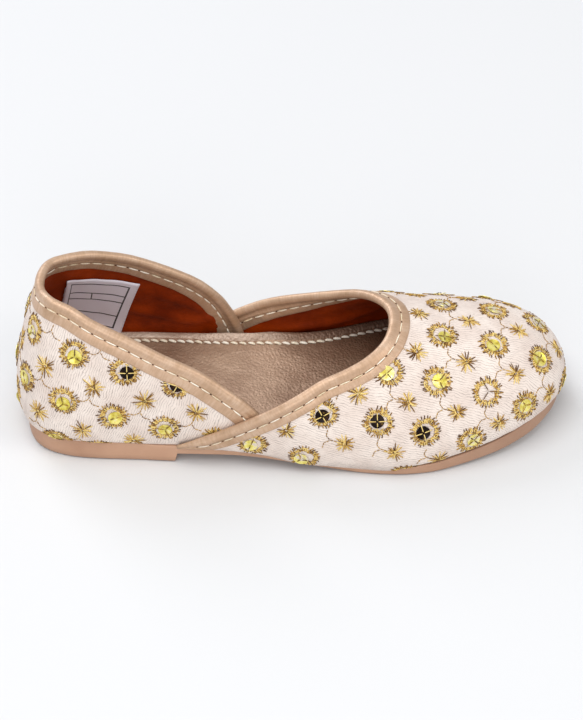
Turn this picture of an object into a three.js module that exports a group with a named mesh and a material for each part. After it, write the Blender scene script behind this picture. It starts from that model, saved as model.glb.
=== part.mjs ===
// A child's mojari, made as a maker puts it together: a moulded outsole with a low heel, an insole, a quarter
// round the heel, a vamp whose wings lap over the outside of the quarter, and a rolled binding on each top edge.
// Millimetres. +X to the toe, +Y to the shoe's left, +Z up. The floor is z = 0. The tables count x from the heel,
// and the finished part is moved back so that its origin is in the middle of the heel's lower face.
import * as THREE from "three";
import { mergeVertices } from "three/addons/utils/BufferGeometryUtils.js";

// ---- driving sizes ----
const wall = 1.7;             // cloth, stiffener and lining together
const gap = 0.3;              // between pieces that touch
const lap = wall + gap;       // how far the vamp's wings stand outside the quarter
const heelFan = 26;           // where the sections round the heel meet
const toeFan = 140;           // where the sections round the toe meet
const rollHigh = 1.7;         // half the height of a rolled binding
const rollWide = 1.45;        // half its thickness
const rollRing = 10;          // points round a binding
const insoleThick = 6.6;      // board and cushion
const edgeRound = 0.8;        // the sole's lower corner
const heelMiddle = 28;        // the middle of the heel's lower face

// The last, a row for each station from heel to toe. left and right are the feather line's distances from
// the axis and foot its height. crown is the height of the ridge and ridge its distance to the left of the axis.
// square says how boxy the section is (2 is an ellipse) and bulge how far the wall swells past the feather line.
const last = [
  { x: 2.6,   left: 0,    right: 0,    foot: 8.4,  crown: 80,   ridge: 0,    square: 1.55, bulge: 2.6 },
  { x: 6,     left: 15.5, right: 15.5, foot: 8.2,  crown: 80,   ridge: 0,    square: 1.55, bulge: 2.6 },
  { x: 18,    left: 21.8, right: 22.6, foot: 8.0,  crown: 78,   ridge: -0.3, square: 1.6,  bulge: 2.6 },
  { x: 42,    left: 23.8, right: 24.6, foot: 7.2,  crown: 71,   ridge: -0.8, square: 2.2,  bulge: 2.0 },
  { x: 70,    left: 22.8, right: 26.1, foot: 6.3,  crown: 60,   ridge: -2.4, square: 2.3,  bulge: 2.0 },
  { x: 97,    left: 24.1, right: 31.2, foot: 4.6,  crown: 48,   ridge: -4.2, square: 2.05, bulge: 1.8 },
  { x: 124,   left: 31.5, right: 35.1, foot: 3.8,  crown: 40.2, ridge: -3.6, square: 1.95, bulge: 1.8 },
  { x: 148,   left: 30,   right: 29.1, foot: 6.4,  crown: 35.8, ridge: -1.8, square: 2.1,  bulge: 1.8 },
  { x: 166,   left: 22.5, right: 20,   foot: 9.4,  crown: 35,   ridge: 0,    square: 2.4,  bulge: 1.6 },
  { x: 175.5, left: 13.2, right: 9.2,  foot: 10.6, crown: 34.5, ridge: 0.8,  square: 2.5,  bulge: 1.4 },
  { x: 178.2, left: 1.8,  right: -1.8, foot: 11,   crown: 34.5, ridge: 1.2,  square: 2.5,  bulge: 1.4 },
];

// The middle of each rolled binding, a row for each station of each side. A turn says how far up the section
// it runs, in degrees: 0 is the feather line and 90 the ridge.
const quarterTop = [
  { leftX: 2.6,   leftTurn: 44.9, rightX: 2.6,   rightTurn: 44.9 },
  { leftX: 6,     leftTurn: 45.1, rightX: 6,     rightTurn: 47.2 },
  { leftX: 18,    leftTurn: 45.5, rightX: 18,    rightTurn: 46.6 },
  { leftX: 34,    leftTurn: 39.5, rightX: 34,    rightTurn: 37.9 },
  { leftX: 47,    leftTurn: 33.5, rightX: 47,    rightTurn: 31 },
  { leftX: 58,    leftTurn: 28.5, rightX: 59,    rightTurn: 26.2 },
  { leftX: 65.5,  leftTurn: 22.5, rightX: 68,    rightTurn: 20.8 },
  { leftX: 69.5,  leftTurn: 15.8, rightX: 75,    rightTurn: 16 },
  { leftX: 72.3,  leftTurn: 9,    rightX: 80.5,  rightTurn: 10.4 },
  { leftX: 73.8,  leftTurn: 3.6,  rightX: 84,    rightTurn: 4.6 },
];
const vampTop = [
  { leftX: 52.5,  leftTurn: 0.5,  rightX: 52.5,  rightTurn: 0.5 },
  { leftX: 62.5,  leftTurn: 3.4,  rightX: 62.5,  rightTurn: 3.4 },
  { leftX: 72,    leftTurn: 10.1, rightX: 72,    rightTurn: 8.9 },
  { leftX: 81,    leftTurn: 17.5, rightX: 81,    rightTurn: 16.8 },
  { leftX: 90,    leftTurn: 26.2, rightX: 90,    rightTurn: 27.2 },
  { leftX: 99,    leftTurn: 36.6, rightX: 99,    rightTurn: 39 },
  { leftX: 107,   leftTurn: 46.5, rightX: 107,   rightTurn: 48 },
  { leftX: 114,   leftTurn: 58.9, rightX: 114,   rightTurn: 57.4 },
  { leftX: 119.5, leftTurn: 72.2, rightX: 119.5, rightTurn: 68.4 },
  { leftX: 122,   leftTurn: 81.8, rightX: 122,   rightTurn: 79.5 },
  { leftX: 122.6, leftTurn: 90,   rightX: 122.6, rightTurn: 90 },
];

// The outsole. edge is how far it stands outside the feather line and under is the height of its lower face.
const sole = [
  { x: 2.6,   edge: -1.2,  under: 0 },
  { x: 18,    edge: -0.4,  under: 0 },
  { x: 42,    edge: 0.3,   under: 0 },
  { x: 51.6,  edge: 0.9,   under: 0 },
  { x: 52.4,  edge: 0.9,   under: 3.1 },
  { x: 62,    edge: 1.3,   under: 3.2 },
  { x: 72,    edge: 1.1,   under: 3.1 },
  { x: 82,    edge: 0.6,   under: 2.5 },
  { x: 92,    edge: 0.2,   under: 1.6 },
  { x: 101,   edge: -0.15, under: 0.7 },
  { x: 110,   edge: -0.4,  under: 0 },
  { x: 120,   edge: -0.4,  under: 0 },
  { x: 128,   edge: 0,     under: 0 },
  { x: 134,   edge: 0.4,   under: 0 },
  { x: 138,   edge: 0.6,   under: 0.3 },
  { x: 146,   edge: 0.6,   under: 0.8 },
  { x: 157,   edge: 0.5,   under: 1.8 },
  { x: 166,   edge: 0,     under: 3.1 },
  { x: 172,   edge: -0.6,  under: 4 },
  { x: 178.2, edge: -0.8,  under: 4.9 },
];

// ---- the last's own functions ----

// A smooth curve through evenly numbered values with one more value beyond each end, by Catmull and Rom's rule.
function smooth(values, at) {
  const i = Math.max(0, Math.min(Math.floor(at), values.length - 4));
  const t = at - i;
  const [a, b, c, d] = values.slice(i, i + 4);
  return 0.5 * (2 * b + (c - a) * t + (2 * a - 5 * b + 4 * c - d) * t * t + (3 * b - a - 3 * c + d) * t ** 3);
}

// A straight run between the rows of a table.
function between(table, column, x) {
  const past = table.findIndex((row) => row.x >= x);
  if (past === 0) return table[0][column];
  if (past < 0) return table[table.length - 1][column];
  const a = table[past - 1];
  const b = table[past];
  return a[column] + (b[column] - a[column]) * (x - a.x) / (b.x - a.x);
}

// 1 at or before from, 0 at or after to, and an easy change between them.
function fade(x, from, to) {
  const t = Math.min(1, Math.max(0, (to - x) / (to - from)));
  return t * t * (3 - 2 * t);
}

// The last at a station, at running 0 at the heel to 1 at the toe. The side is 1 for left and -1 for right.
// Past each end the outline carries on along the other side, so the ends are round.
function stationAt(at, side) {
  const near = side > 0 ? "left" : "right";
  const far = side > 0 ? "right" : "left";
  const end = last.length - 1;
  const read = (column, beyond = column, sign = 1) => {
    const values = [sign * last[1][beyond], ...last.map((row) => row[column]), sign * last[end - 1][beyond]];
    return smooth(values, at * end);
  };
  return {
    side, x: read("x"), out: read(near, far, -1), foot: read("foot"), crown: read("crown"),
    ridge: read("ridge"), square: read("square"), bulge: read("bulge"),
  };
}

// The station whose feather line lies at x.
function atOf(x) {
  let low = 0;
  let high = 1;
  for (let step = 0; step < 30; step++) {
    const middle = (low + high) / 2;
    if (stationAt(middle, 1).x < x) low = middle;
    else high = middle;
  }
  return (low + high) / 2;
}

// A point on the last, turn degrees up the section, stood off outwards. The section runs in plan from the
// feather line to the ridge, and its height follows the ridge's own height above it.
function onLast(at, side, turn, off) {
  const s = stationAt(at, side);
  const fanX = Math.min(Math.max(s.x, heelFan), toeFan);
  const fanY = stationAt(atOf(fanX), 1).ridge;
  const angle = Math.min(turn, 90) * Math.PI / 180;
  const climb = Math.sin(angle) ** (2 / s.square);
  const spread = Math.max(0, Math.cos(angle)) ** (2 / s.square);
  const along = new THREE.Vector2(s.x - fanX, side * s.out - fanY);
  const reach = along.length();
  const swell = s.bulge * Math.sin(Math.PI * Math.sqrt(Math.min(climb, 1)));
  along.multiplyScalar(((reach + off) * spread + swell) / reach);
  const x = fanX + along.x;
  const crown = stationAt(atOf(Math.min(Math.max(x, last[0].x), 178.2)), 1).crown;
  return new THREE.Vector3(x, fanY + along.y, s.foot + climb * (crown + off - s.foot));
}

// The vamp stands outside the quarter where it laps it, and comes in to the last in front of it.
const vampOff = (x, side) => lap * (side > 0 ? fade(x, 80, 112) : fade(x, 86, 116));
const quarterShift = (x, side) => -(rollWide - wall / 2) * (1 - (side > 0 ? fade(x, 60, 67) : fade(x, 70, 77)));
const vampShift = (x, side) => (rollWide - wall / 2) * (side > 0 ? fade(x, 80, 104) : fade(x, 86, 108));

// How much of a binding's section is left: the vamp's thins away to the rear, where it dies out on the sole.
const tailSize = (x) => 1 - 0.6 * fade(x, 53, 63);

// The quarter's binding goes down between the vamp's wing and the insole, which is cut back for it.
const insoleCut = (x, side) => (side > 0 ? (1 - fade(x, 57, 64)) * fade(x, 77, 84)
  : (1 - fade(x, 66, 73)) * fade(x, 87, 94));
const insoleEdge = (s, share) => {
  const cut = insoleCut(s.x, s.side);
  return -wall - gap - 0.1 + 0.5 * s.bulge * share * (1 - cut) - (rollWide * 2 - wall) * cut;
};

// ---- shells and bindings ----

// Read one side of a top edge: place runs 0 at the first row to 1 at the last. Past the last row of the vamp's
// edge it carries on down the other side.
function topAt(table, place, side, mirrored) {
  const [near, far] = side > 0 ? ["left", "right"] : ["right", "left"];
  const end = table.length - 1;
  const before = mirrored === "first" ? table[1][far + "Turn"] : 2 * table[0][near + "Turn"] - table[1][near + "Turn"];
  const beyond = mirrored === "last" ? 180 - table[end - 1][far + "Turn"]
    : 2 * table[end][near + "Turn"] - table[end - 1][near + "Turn"];
  const beforeX = mirrored === "first" ? table[1][far + "X"] : 2 * table[0][near + "X"] - table[1][near + "X"];
  const beyondX = mirrored === "last" ? table[end - 1][far + "X"]
    : 2 * table[end][near + "X"] - table[end - 1][near + "X"];
  return {
    x: smooth([beforeX, ...table.map((row) => row[near + "X"]), beyondX], place * end),
    turn: smooth([before, ...table.map((row) => row[near + "Turn"]), beyond], place * end),
  };
}

// Every stop down a binding's path. It starts at its left end, and sense is 1 when that end is the rear one.
function pathOf(table, sense, steps, offOf, shiftOf) {
  const stops = [];
  const place = (i) => (sense > 0 ? i : steps - i) / steps;
  for (let i = 0; i <= steps; i++) stops.push({ side: 1, place: place(i) });
  for (let i = steps - 1; i >= 0; i--) stops.push({ side: -1, place: place(i) });
  for (const stop of stops) {
    const { side } = stop;
    const { x, turn } = topAt(table, stop.place, side, sense > 0 ? "last" : "first");
    const at = atOf(x);
    const off = offOf(x, side) - wall / 2 + shiftOf(x, side);
    const away = onLast(at, side, turn, off + 1).sub(onLast(at, side, turn, off - 1)).normalize();
    Object.assign(stop, { x, turn, at, off, away, middle: onLast(at, side, turn, off) });
  }
  stops.forEach((stop, i) => {
    const run = stops[Math.min(i + 1, stops.length - 1)].middle.clone();
    run.sub(stops[Math.max(i - 1, 0)].middle).normalize();
    const up = run.clone().cross(stop.away).multiplyScalar(sense).normalize();
    Object.assign(stop, { run, up, out: up.clone().cross(run).multiplyScalar(sense).normalize() });
  });
  return stops;
}

// The edge of the wall that a binding stands on, as far up each section as the binding leaves clear.
function edgeUnder(stops) {
  const down = rollHigh + gap + 0.2;
  return stops.map(({ at, side, turn, off, up }) => {
    const back = turn > 88 ? -1 : 1;
    const here = onLast(at, side, turn, off);
    const forward = onLast(at + 0.002, side, turn, off).sub(here).divideScalar(0.002);
    const upward = onLast(at, side, turn + 0.5 * back, off).sub(here).divideScalar(0.5 * back);
    const aa = forward.dot(forward);
    const ab = forward.dot(upward);
    const bb = upward.dot(upward);
    const a = -down * up.dot(forward);
    const b = -down * up.dot(upward);
    const share = aa * bb - ab * ab;
    return { side, at: at + (a * bb - b * ab) / share, turn: turn + (b * aa - a * ab) / share };
  });
}

// A solid from points and the triangles between them, with the points that coincide made one.
function solid(name, colour, roughness, points, faces) {
  const geometry = new THREE.BufferGeometry();
  geometry.setAttribute("position", new THREE.Float32BufferAttribute(points.flatMap((p) => p.toArray()), 3));
  geometry.setIndex(faces);
  const welded = mergeVertices(geometry, 1e-3);
  const index = [];
  const seen = welded.index.array;
  for (let i = 0; i < seen.length; i += 3) {
    const [a, b, c] = seen.slice(i, i + 3);
    if (a !== b && b !== c && c !== a) index.push(a, b, c);
  }
  welded.setIndex(index);
  welded.computeVertexNormals();
  const material = new THREE.MeshStandardMaterial({ color: colour, roughness, metalness: 0 });
  const mesh = new THREE.Mesh(welded, material);
  mesh.name = name;
  return mesh;
}

// A wall: columns of points from the feather line up, once outside and once inside, joined round every edge.
// Where two columns both reach the ridge they meet there, and nothing bridges them. sense is 1 when the
// columns start at the rear.
function shell(name, colour, columns, sense, rows, offOf) {
  const points = [];
  const faces = [];
  const layer = columns.length * (rows + 1);
  for (const depth of [0, wall]) {
    for (const { at, side, turn } of columns) {
      const off = offOf(stationAt(at, side).x, side) - depth;
      for (let j = 0; j <= rows; j++) points.push(onLast(at, side, turn * (j / rows) ** 1.5, off));
    }
  }
  const quad = (a, b, c, d) => (sense > 0 ? faces.push(a, b, c, a, c, d) : faces.push(a, c, b, a, d, c));
  const outer = (i, j) => i * (rows + 1) + j;
  const inner = (i, j) => layer + outer(i, j);
  const last = columns.length - 1;
  for (let i = 0; i < last; i++) {
    for (let j = 0; j < rows; j++) {
      quad(outer(i, j), outer(i, j + 1), outer(i + 1, j + 1), outer(i + 1, j));
      quad(inner(i, j), inner(i + 1, j), inner(i + 1, j + 1), inner(i, j + 1));
    }
    quad(outer(i, 0), outer(i + 1, 0), inner(i + 1, 0), inner(i, 0));
    const onRidge = columns[i].turn > 89.99 && columns[i + 1].turn > 89.99;
    if (!onRidge) quad(outer(i, rows), inner(i, rows), inner(i + 1, rows), outer(i + 1, rows));
  }
  for (let j = 0; j < rows; j++) {
    quad(outer(0, j), inner(0, j), inner(0, j + 1), outer(0, j + 1));
    quad(outer(last, j), outer(last, j + 1), inner(last, j + 1), inner(last, j));
  }
  return solid(name, colour, 0.85, points, faces);
}

// A rolled binding: an oval ring at each stop of its path, closed at both ends.
function binding(name, colour, stops, sizeOf) {
  const points = [];
  const faces = [];
  for (const { middle, up, out, x } of stops) {
    for (let k = 0; k < rollRing; k++) {
      const angle = 2 * Math.PI * k / rollRing;
      const rise = up.clone().multiplyScalar(rollHigh * sizeOf(x) * Math.sin(angle));
      points.push(middle.clone().addScaledVector(out, rollWide * sizeOf(x) * Math.cos(angle)).add(rise));
    }
  }
  const ring = (i, k) => i * rollRing + k % rollRing;
  const last = stops.length - 1;
  const turned = stops[0].out.clone().cross(stops[0].up).dot(stops[0].run) > 0;
  const face = (a, b, c) => (turned ? faces.push(a, b, c) : faces.push(a, c, b));
  for (let i = 0; i < last; i++) {
    for (let k = 0; k < rollRing; k++) {
      face(ring(i, k), ring(i, k + 1), ring(i + 1, k + 1));
      face(ring(i, k), ring(i + 1, k + 1), ring(i + 1, k));
    }
  }
  for (let k = 1; k < rollRing - 1; k++) {
    face(ring(0, 0), ring(0, k + 1), ring(0, k));
    face(ring(last, 0), ring(last, k), ring(last, k + 1));
  }
  return solid(name, colour, 0.5, points, faces);
}

// A layer of the bottom: rings of left and right points at each station, one ring above another.
// Each level gives the distance outside the feather line and the height at a station.
function layer(name, colour, stations, levels) {
  const points = [];
  const faces = [];
  const count = stations.length;
  for (const level of levels) {
    for (const side of [1, -1]) {
      for (const at of stations) {
        const s = stationAt(at, side);
        const { edge, high } = level(s);
        const p = onLast(at, side, 0, edge);
        points.push(new THREE.Vector3(p.x, p.y, high));
      }
    }
  }
  const spot = (level, side, i) => (2 * level + (side > 0 ? 0 : 1)) * count + i;
  const quad = (a, b, c, d) => faces.push(a, b, c, a, c, d);
  const top = levels.length - 1;
  for (let i = 0; i < count - 1; i++) {
    quad(spot(top, -1, i), spot(top, -1, i + 1), spot(top, 1, i + 1), spot(top, 1, i));
    quad(spot(0, 1, i), spot(0, 1, i + 1), spot(0, -1, i + 1), spot(0, -1, i));
    for (let j = 0; j < top; j++) {
      quad(spot(j, 1, i), spot(j + 1, 1, i), spot(j + 1, 1, i + 1), spot(j, 1, i + 1));
      quad(spot(j, -1, i), spot(j, -1, i + 1), spot(j + 1, -1, i + 1), spot(j + 1, -1, i));
    }
  }
  return solid(name, colour, 0.7, points, faces);
}

// ---- the pieces ----
const steps = (from, to, count) => Array.from({ length: count + 1 }, (_, i) => from + (to - from) * i / count);

const quarterStops = pathOf(quarterTop, -1, 28, () => 0, quarterShift);
const vampStops = pathOf(vampTop, 1, 34, vampOff, vampShift);

const standing = ({ turn }) => turn > 1;
const quarterEdge = edgeUnder(quarterStops).filter(standing);
const throatEdge = edgeUnder(vampStops);
const half = (throatEdge.length - 1) / 2;
const toeAts = steps(throatEdge[half].at, 1, 20);
const vampEdge = [
  ...throatEdge.slice(0, half).filter(standing),
  ...toeAts.map((at) => ({ side: 1, at, turn: 90 })),
  ...toeAts.slice(0, -1).reverse().map((at) => ({ side: -1, at, turn: 90 })),
  ...throatEdge.slice(half + 1).filter(standing),
];

const soleAts = [...new Set([...steps(0, 1, 44), ...sole.slice(1, -1).map((row) => atOf(row.x))])].sort((a, b) => a - b);
const outsole = layer("outsole", 0xb98f74, soleAts, [
  (s) => ({ edge: between(sole, "edge", s.x) - edgeRound, high: between(sole, "under", s.x) }),
  (s) => ({ edge: between(sole, "edge", s.x), high: between(sole, "under", s.x) + edgeRound }),
  (s) => ({ edge: between(sole, "edge", s.x), high: s.foot - gap }),
]);
const insole = layer("insole", 0xb08d78, steps(0, 1, 40), [
  (s) => ({ edge: insoleEdge(s, 0), high: s.foot }),
  (s) => ({ edge: insoleEdge(s, 0.8), high: s.foot + insoleThick / 2 }),
  (s) => ({ edge: insoleEdge(s, 1), high: s.foot + insoleThick }),
]);

const part = new THREE.Group();
part.name = "mojari";
part.position.x = -heelMiddle;
part.add(
  outsole,
  insole,
  shell("upper_quarter", 0xe6d8cc, quarterEdge, -1, 9, () => 0),
  shell("upper_vamp", 0xe6d8cc, vampEdge, 1, 11, vampOff),
  binding("quarter_binding", 0xc4a080, quarterStops, () => 1),
  binding("vamp_binding", 0xc4a080, vampStops, tailSize),
);

export default part;
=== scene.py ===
import bisect
import math
import random

import bmesh
import bpy
from mathutils import Matrix, Vector, bvhtree, kdtree, noise


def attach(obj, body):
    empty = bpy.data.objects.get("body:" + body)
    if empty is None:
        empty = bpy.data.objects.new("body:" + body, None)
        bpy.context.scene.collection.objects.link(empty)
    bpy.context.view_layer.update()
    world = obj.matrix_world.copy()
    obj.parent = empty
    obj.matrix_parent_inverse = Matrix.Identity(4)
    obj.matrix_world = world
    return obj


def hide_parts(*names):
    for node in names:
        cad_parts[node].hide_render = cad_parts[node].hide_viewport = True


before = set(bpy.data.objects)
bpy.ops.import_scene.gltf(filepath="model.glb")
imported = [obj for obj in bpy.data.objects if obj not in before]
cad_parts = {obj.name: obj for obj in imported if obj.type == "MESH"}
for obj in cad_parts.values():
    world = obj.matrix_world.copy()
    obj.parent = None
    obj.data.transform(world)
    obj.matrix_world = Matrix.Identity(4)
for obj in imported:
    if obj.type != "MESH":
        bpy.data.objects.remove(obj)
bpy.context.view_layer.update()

bpy.ops.object.select_all(action="DESELECT")
random.seed(27)

shoe = {
    "wall": 1.7,           # cloth, stiffener and lining together
    "clothThick": 0.8,
    "gap": 0.3,            # between the quarter and the vamp where they lap
    "heelFan": 26,         # where the sections round the heel meet
    "toeFan": 140,         # where the sections round the toe meet
    "rollHigh": 1.7,       # half the height of a rolled binding
    "rollWide": 1.45,      # half its thickness
    "insoleThick": 6.6,    # board and leather
    "heelMiddle": 28,      # the middle of the heel's lower face, the part's origin
}

# The last, heel to toe: how far the feather line is to the left and right of the axis, its height, the height
# of the ridge and its distance to the left, how boxy the section is, and how far it swells.
lastColumns = ("x", "left", "right", "foot", "crown", "ridge", "square", "bulge")
lastRows = [
    (2.6, 0, 0, 8.4, 80, 0, 1.55, 2.6),
    (6, 15.5, 15.5, 8.2, 80, 0, 1.55, 2.6),
    (18, 21.8, 22.6, 8.0, 78, -0.3, 1.6, 2.6),
    (42, 23.8, 24.6, 7.2, 71, -0.8, 2.2, 2.0),
    (70, 22.8, 26.1, 6.3, 60, -2.4, 2.3, 2.0),
    (97, 24.1, 31.2, 4.6, 48, -4.2, 2.05, 1.8),
    (124, 31.5, 35.1, 3.8, 40.2, -3.6, 1.95, 1.8),
    (148, 30, 29.1, 6.4, 35.8, -1.8, 2.1, 1.8),
    (166, 22.5, 20, 9.4, 35, 0, 2.4, 1.6),
    (175.5, 13.2, 9.2, 10.6, 34.5, 0.8, 2.5, 1.4),
    (178.2, 1.8, -1.8, 11, 34.5, 1.2, 2.5, 1.4),
]

# The middle of each binding: left x and turn, right x and turn. A turn is degrees up the section, with 90 at
# the ridge.
quarterTop = [
    (2.6, 44.9, 2.6, 44.9), (6, 45.1, 6, 47.2), (18, 45.5, 18, 46.6), (34, 39.5, 34, 37.9),
    (47, 33.5, 47, 31), (58, 28.5, 59, 26.2), (65.5, 22.5, 68, 20.8), (69.5, 15.8, 75, 16),
    (72.3, 9, 80.5, 10.4), (73.8, 3.6, 84, 4.6),
]
vampTop = [
    (52.5, 0.5, 52.5, 0.5), (62.5, 3.4, 62.5, 3.4), (72, 10.1, 72, 8.9), (81, 17.5, 81, 16.8),
    (90, 26.2, 90, 27.2), (99, 36.6, 99, 39), (107, 46.5, 107, 48), (114, 58.9, 114, 57.4),
    (119.5, 72.2, 119.5, 68.4), (122, 81.8, 122, 79.5), (122.6, 90, 122.6, 90),
]

# The outsole: how far it stands outside the feather line, and the height of its lower face.
soleRows = [
    (2.6, -1.2, 0), (18, -0.4, 0), (42, 0.3, 0), (51.6, 0.9, 0), (52.4, 0.9, 3.1), (62, 1.3, 3.2),
    (72, 1.1, 3.1), (82, 0.6, 2.5), (92, 0.2, 1.6), (101, -0.15, 0.7), (110, -0.4, 0), (120, -0.4, 0),
    (128, 0, 0), (134, 0.4, 0), (138, 0.6, 0.3), (146, 0.6, 0.8), (157, 0.5, 1.8), (166, 0, 3.1),
    (172, -0.6, 4), (178.2, -0.8, 4.9),
]


def smooth(values, at):
    # a curve through evenly numbered values, with one more value beyond each end
    i = max(0, min(int(at), len(values) - 4))
    t = at - i
    a, b, c, d = values[i:i + 4]
    return 0.5 * (2 * b + (c - a) * t + (2 * a - 5 * b + 4 * c - d) * t ** 2
                  + (3 * b - a - 3 * c + d) * t ** 3)


def between(rows, column, x):
    # a straight run between the rows of a table whose first column is x
    past = bisect.bisect_left([row[0] for row in rows], x)
    if past == 0 or past == len(rows):
        return rows[min(past, len(rows) - 1)][column]
    a, b = rows[past - 1], rows[past]
    return a[column] + (b[column] - a[column]) * (x - a[0]) / (b[0] - a[0])


def fade(x, start, end):
    # 1 at or before start, 0 at or after end, and an easy change between them
    t = min(1, max(0, (end - x) / (end - start)))
    return t * t * (3 - 2 * t)


def lastCurve(column, beyond=None, sign=1):
    # one column of the last, with its ends carried on along the other side so that they are round
    values = [row[lastColumns.index(column)] for row in lastRows]
    other = [row[lastColumns.index(beyond or column)] for row in lastRows]
    return [sign * other[1], *values, sign * other[-2]]


lastCurves = {}
for side, near, far in ((1, "left", "right"), (-1, "right", "left")):
    lastCurves[side] = {name: lastCurve(name) for name in lastColumns if name not in (near, far)}
    lastCurves[side]["out"] = lastCurve(near, far, -1)
lastSpans = len(lastRows) - 1


def readLast(name, at, side=1):
    return smooth(lastCurves[side][name], at * lastSpans)


ridgeSteps = 2400
ridgeXs = [readLast("x", k / ridgeSteps) for k in range(ridgeSteps + 1)]


def atOf(x):
    # the station, 0 at the heel to 1 at the toe, whose feather line lies at x
    k = min(max(bisect.bisect_left(ridgeXs, x), 1), ridgeSteps)
    step = ridgeXs[k] - ridgeXs[k - 1]
    return (k - 1 + (min(1, max(0, (x - ridgeXs[k - 1]) / step)) if step > 0 else 0)) / ridgeSteps


def onLast(at, side, turn, off):
    # a point turn degrees up the section, stood off outwards, in millimetres
    x = readLast("x", at)
    foot = readLast("foot", at)
    fanX = min(max(x, shoe["heelFan"]), shoe["toeFan"])
    fanY = readLast("ridge", atOf(fanX))
    angle = math.radians(min(turn, 90))
    square = readLast("square", at)
    climb = math.sin(angle) ** (2 / square)
    spread = max(0, math.cos(angle)) ** (2 / square)
    alongX, alongY = x - fanX, side * readLast("out", at, side) - fanY
    reach = math.hypot(alongX, alongY)
    swell = readLast("bulge", at) * math.sin(math.pi * math.sqrt(min(climb, 1)))
    size = ((reach + off) * spread + swell) / reach
    x = fanX + alongX * size
    crown = readLast("crown", atOf(min(max(x, lastRows[0][0]), lastRows[-1][0])))
    return Vector((x, fanY + alongY * size, foot + climb * (crown + off - foot)))


def vampOff(x, side):
    # the vamp stands outside the quarter where it laps it, and comes in to the last in front of it
    return (shoe["wall"] + shoe["gap"]) * (fade(x, 80, 112) if side > 0 else fade(x, 86, 116))


def quarterOff(x, side):
    return 0


def onWall(offOf, at, side, turn, proud=0):
    return onLast(at, side, turn, offOf(readLast("x", at), side) + proud)


def inFrame(point):
    return Vector(((point.x - shoe["heelMiddle"]) / 1000, point.y / 1000, point.z / 1000))


insideShoe = inFrame(Vector((100, 0, 20)))
flatUnit = 100       # mm of the flat material that a UV map's unit stands for


def topAt(rows, place, side, mirrored):
    # a top edge's x and turn, place running 0 at its first row to 1 at its last
    near = 0 if side > 0 else 2
    far = 2 - near
    before = [2 * rows[0][near + k] - rows[1][near + k] for k in (0, 1)]
    beyond = [2 * rows[-1][near + k] - rows[-2][near + k] for k in (0, 1)]
    if mirrored == "first":
        before = [rows[1][far], rows[1][far + 1]]
    if mirrored == "last":
        beyond = [rows[-2][far], 180 - rows[-2][far + 1]]
    columns = [[before[k], *(row[near + k] for row in rows), beyond[k]] for k in (0, 1)]
    return [smooth(column, place * (len(rows) - 1)) for column in columns]


def pathOf(rows, sense, steps, offOf, shiftOf):
    # every stop down a binding's path, from its left end. sense is 1 when that end is the rear one
    stops = []
    for k in range(2 * steps + 1):
        side = 1 if k <= steps else -1
        share = (k if side > 0 else 2 * steps - k) / steps
        x, turn = topAt(rows, share if sense > 0 else 1 - share, side, "last" if sense > 0 else "first")
        at = atOf(x)
        off = offOf(x, side) - shoe["wall"] / 2 + shiftOf(x, side)
        away = (onLast(at, side, turn, off + 1) - onLast(at, side, turn, off - 1)).normalized()
        stops.append({"side": side, "x": x, "turn": turn, "at": at, "away": away,
                      "middle": onLast(at, side, turn, off)})
    travelled = 0
    for k, stop in enumerate(stops):
        behind, ahead = stops[max(k - 1, 0)]["middle"], stops[min(k + 1, len(stops) - 1)]["middle"]
        stop["run"] = (ahead - behind).normalized()
        stop["up"] = (stop["run"].cross(stop["away"]) * sense).normalized()
        stop["out"] = (stop["up"].cross(stop["run"]) * sense).normalized()
        travelled += (stop["middle"] - stops[max(k - 1, 0)]["middle"]).length
        stop["length"] = travelled
    return stops


def quarterShift(x, side):
    return -(shoe["rollWide"] - shoe["wall"] / 2) * (1 - (fade(x, 60, 67) if side > 0 else fade(x, 70, 77)))


def vampShift(x, side):
    return (shoe["rollWide"] - shoe["wall"] / 2) * (fade(x, 80, 104) if side > 0 else fade(x, 86, 108))


def quarterTucked(x, side):
    # 1 where the vamp's wing lies over the quarter's binding
    return 1 - (fade(x, 69, 73) if side > 0 else fade(x, 80, 84))


def vampTucked(x, side):
    # 1 where the quarter lies against the inside of the vamp's wing
    return fade(x, 76, 80) if side > 0 else fade(x, 86, 90)


def tailSize(x):
    # the vamp's binding thins away to the rear, where it dies out on the sole
    return 1 - 0.6 * fade(x, 53, 63)


def fullSize(x):
    return 1


def insoleCut(x, side):
    # 1 where the insole is cut back to let the quarter's binding down between it and the vamp's wing
    return (1 - fade(x, 57, 64)) * fade(x, 77, 84) if side > 0 else (1 - fade(x, 66, 73)) * fade(x, 87, 94)


def downWall(stop, offOf, depths, stride=0.8):
    # stations and turns at growing depths below the middle of a binding, measured along the wall
    side, at, turn = stop["side"], stop["at"], stop["turn"]
    found, gone = [], 0
    for depth in depths:
        while gone < depth - 1e-6:
            move = min(stride, depth - gone)
            back = -1 if turn > 88 else 1
            here = onWall(offOf, at, side, turn)
            forward = (onWall(offOf, at + 0.002, side, turn) - here) / 0.002
            upward = (onWall(offOf, at, side, turn + 0.5 * back) - here) / (0.5 * back)
            aa, ab, bb = forward.dot(forward), forward.dot(upward), upward.dot(upward)
            a, b = -move * stop["up"].dot(forward), -move * stop["up"].dot(upward)
            share = aa * bb - ab * ab
            at = min(1, at + (a * bb - b * ab) / share)
            turn = min(90, max(0, turn + (b * aa - a * ab) / share))
            gone += move
        found.append((at, turn))
    return found


def toLinear(hexColour):
    parts = [int(hexColour[k:k + 2], 16) / 255 for k in (1, 3, 5)]
    return (*(p / 12.92 if p <= 0.04045 else ((p + 0.055) / 1.055) ** 2.4 for p in parts), 1)


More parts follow.
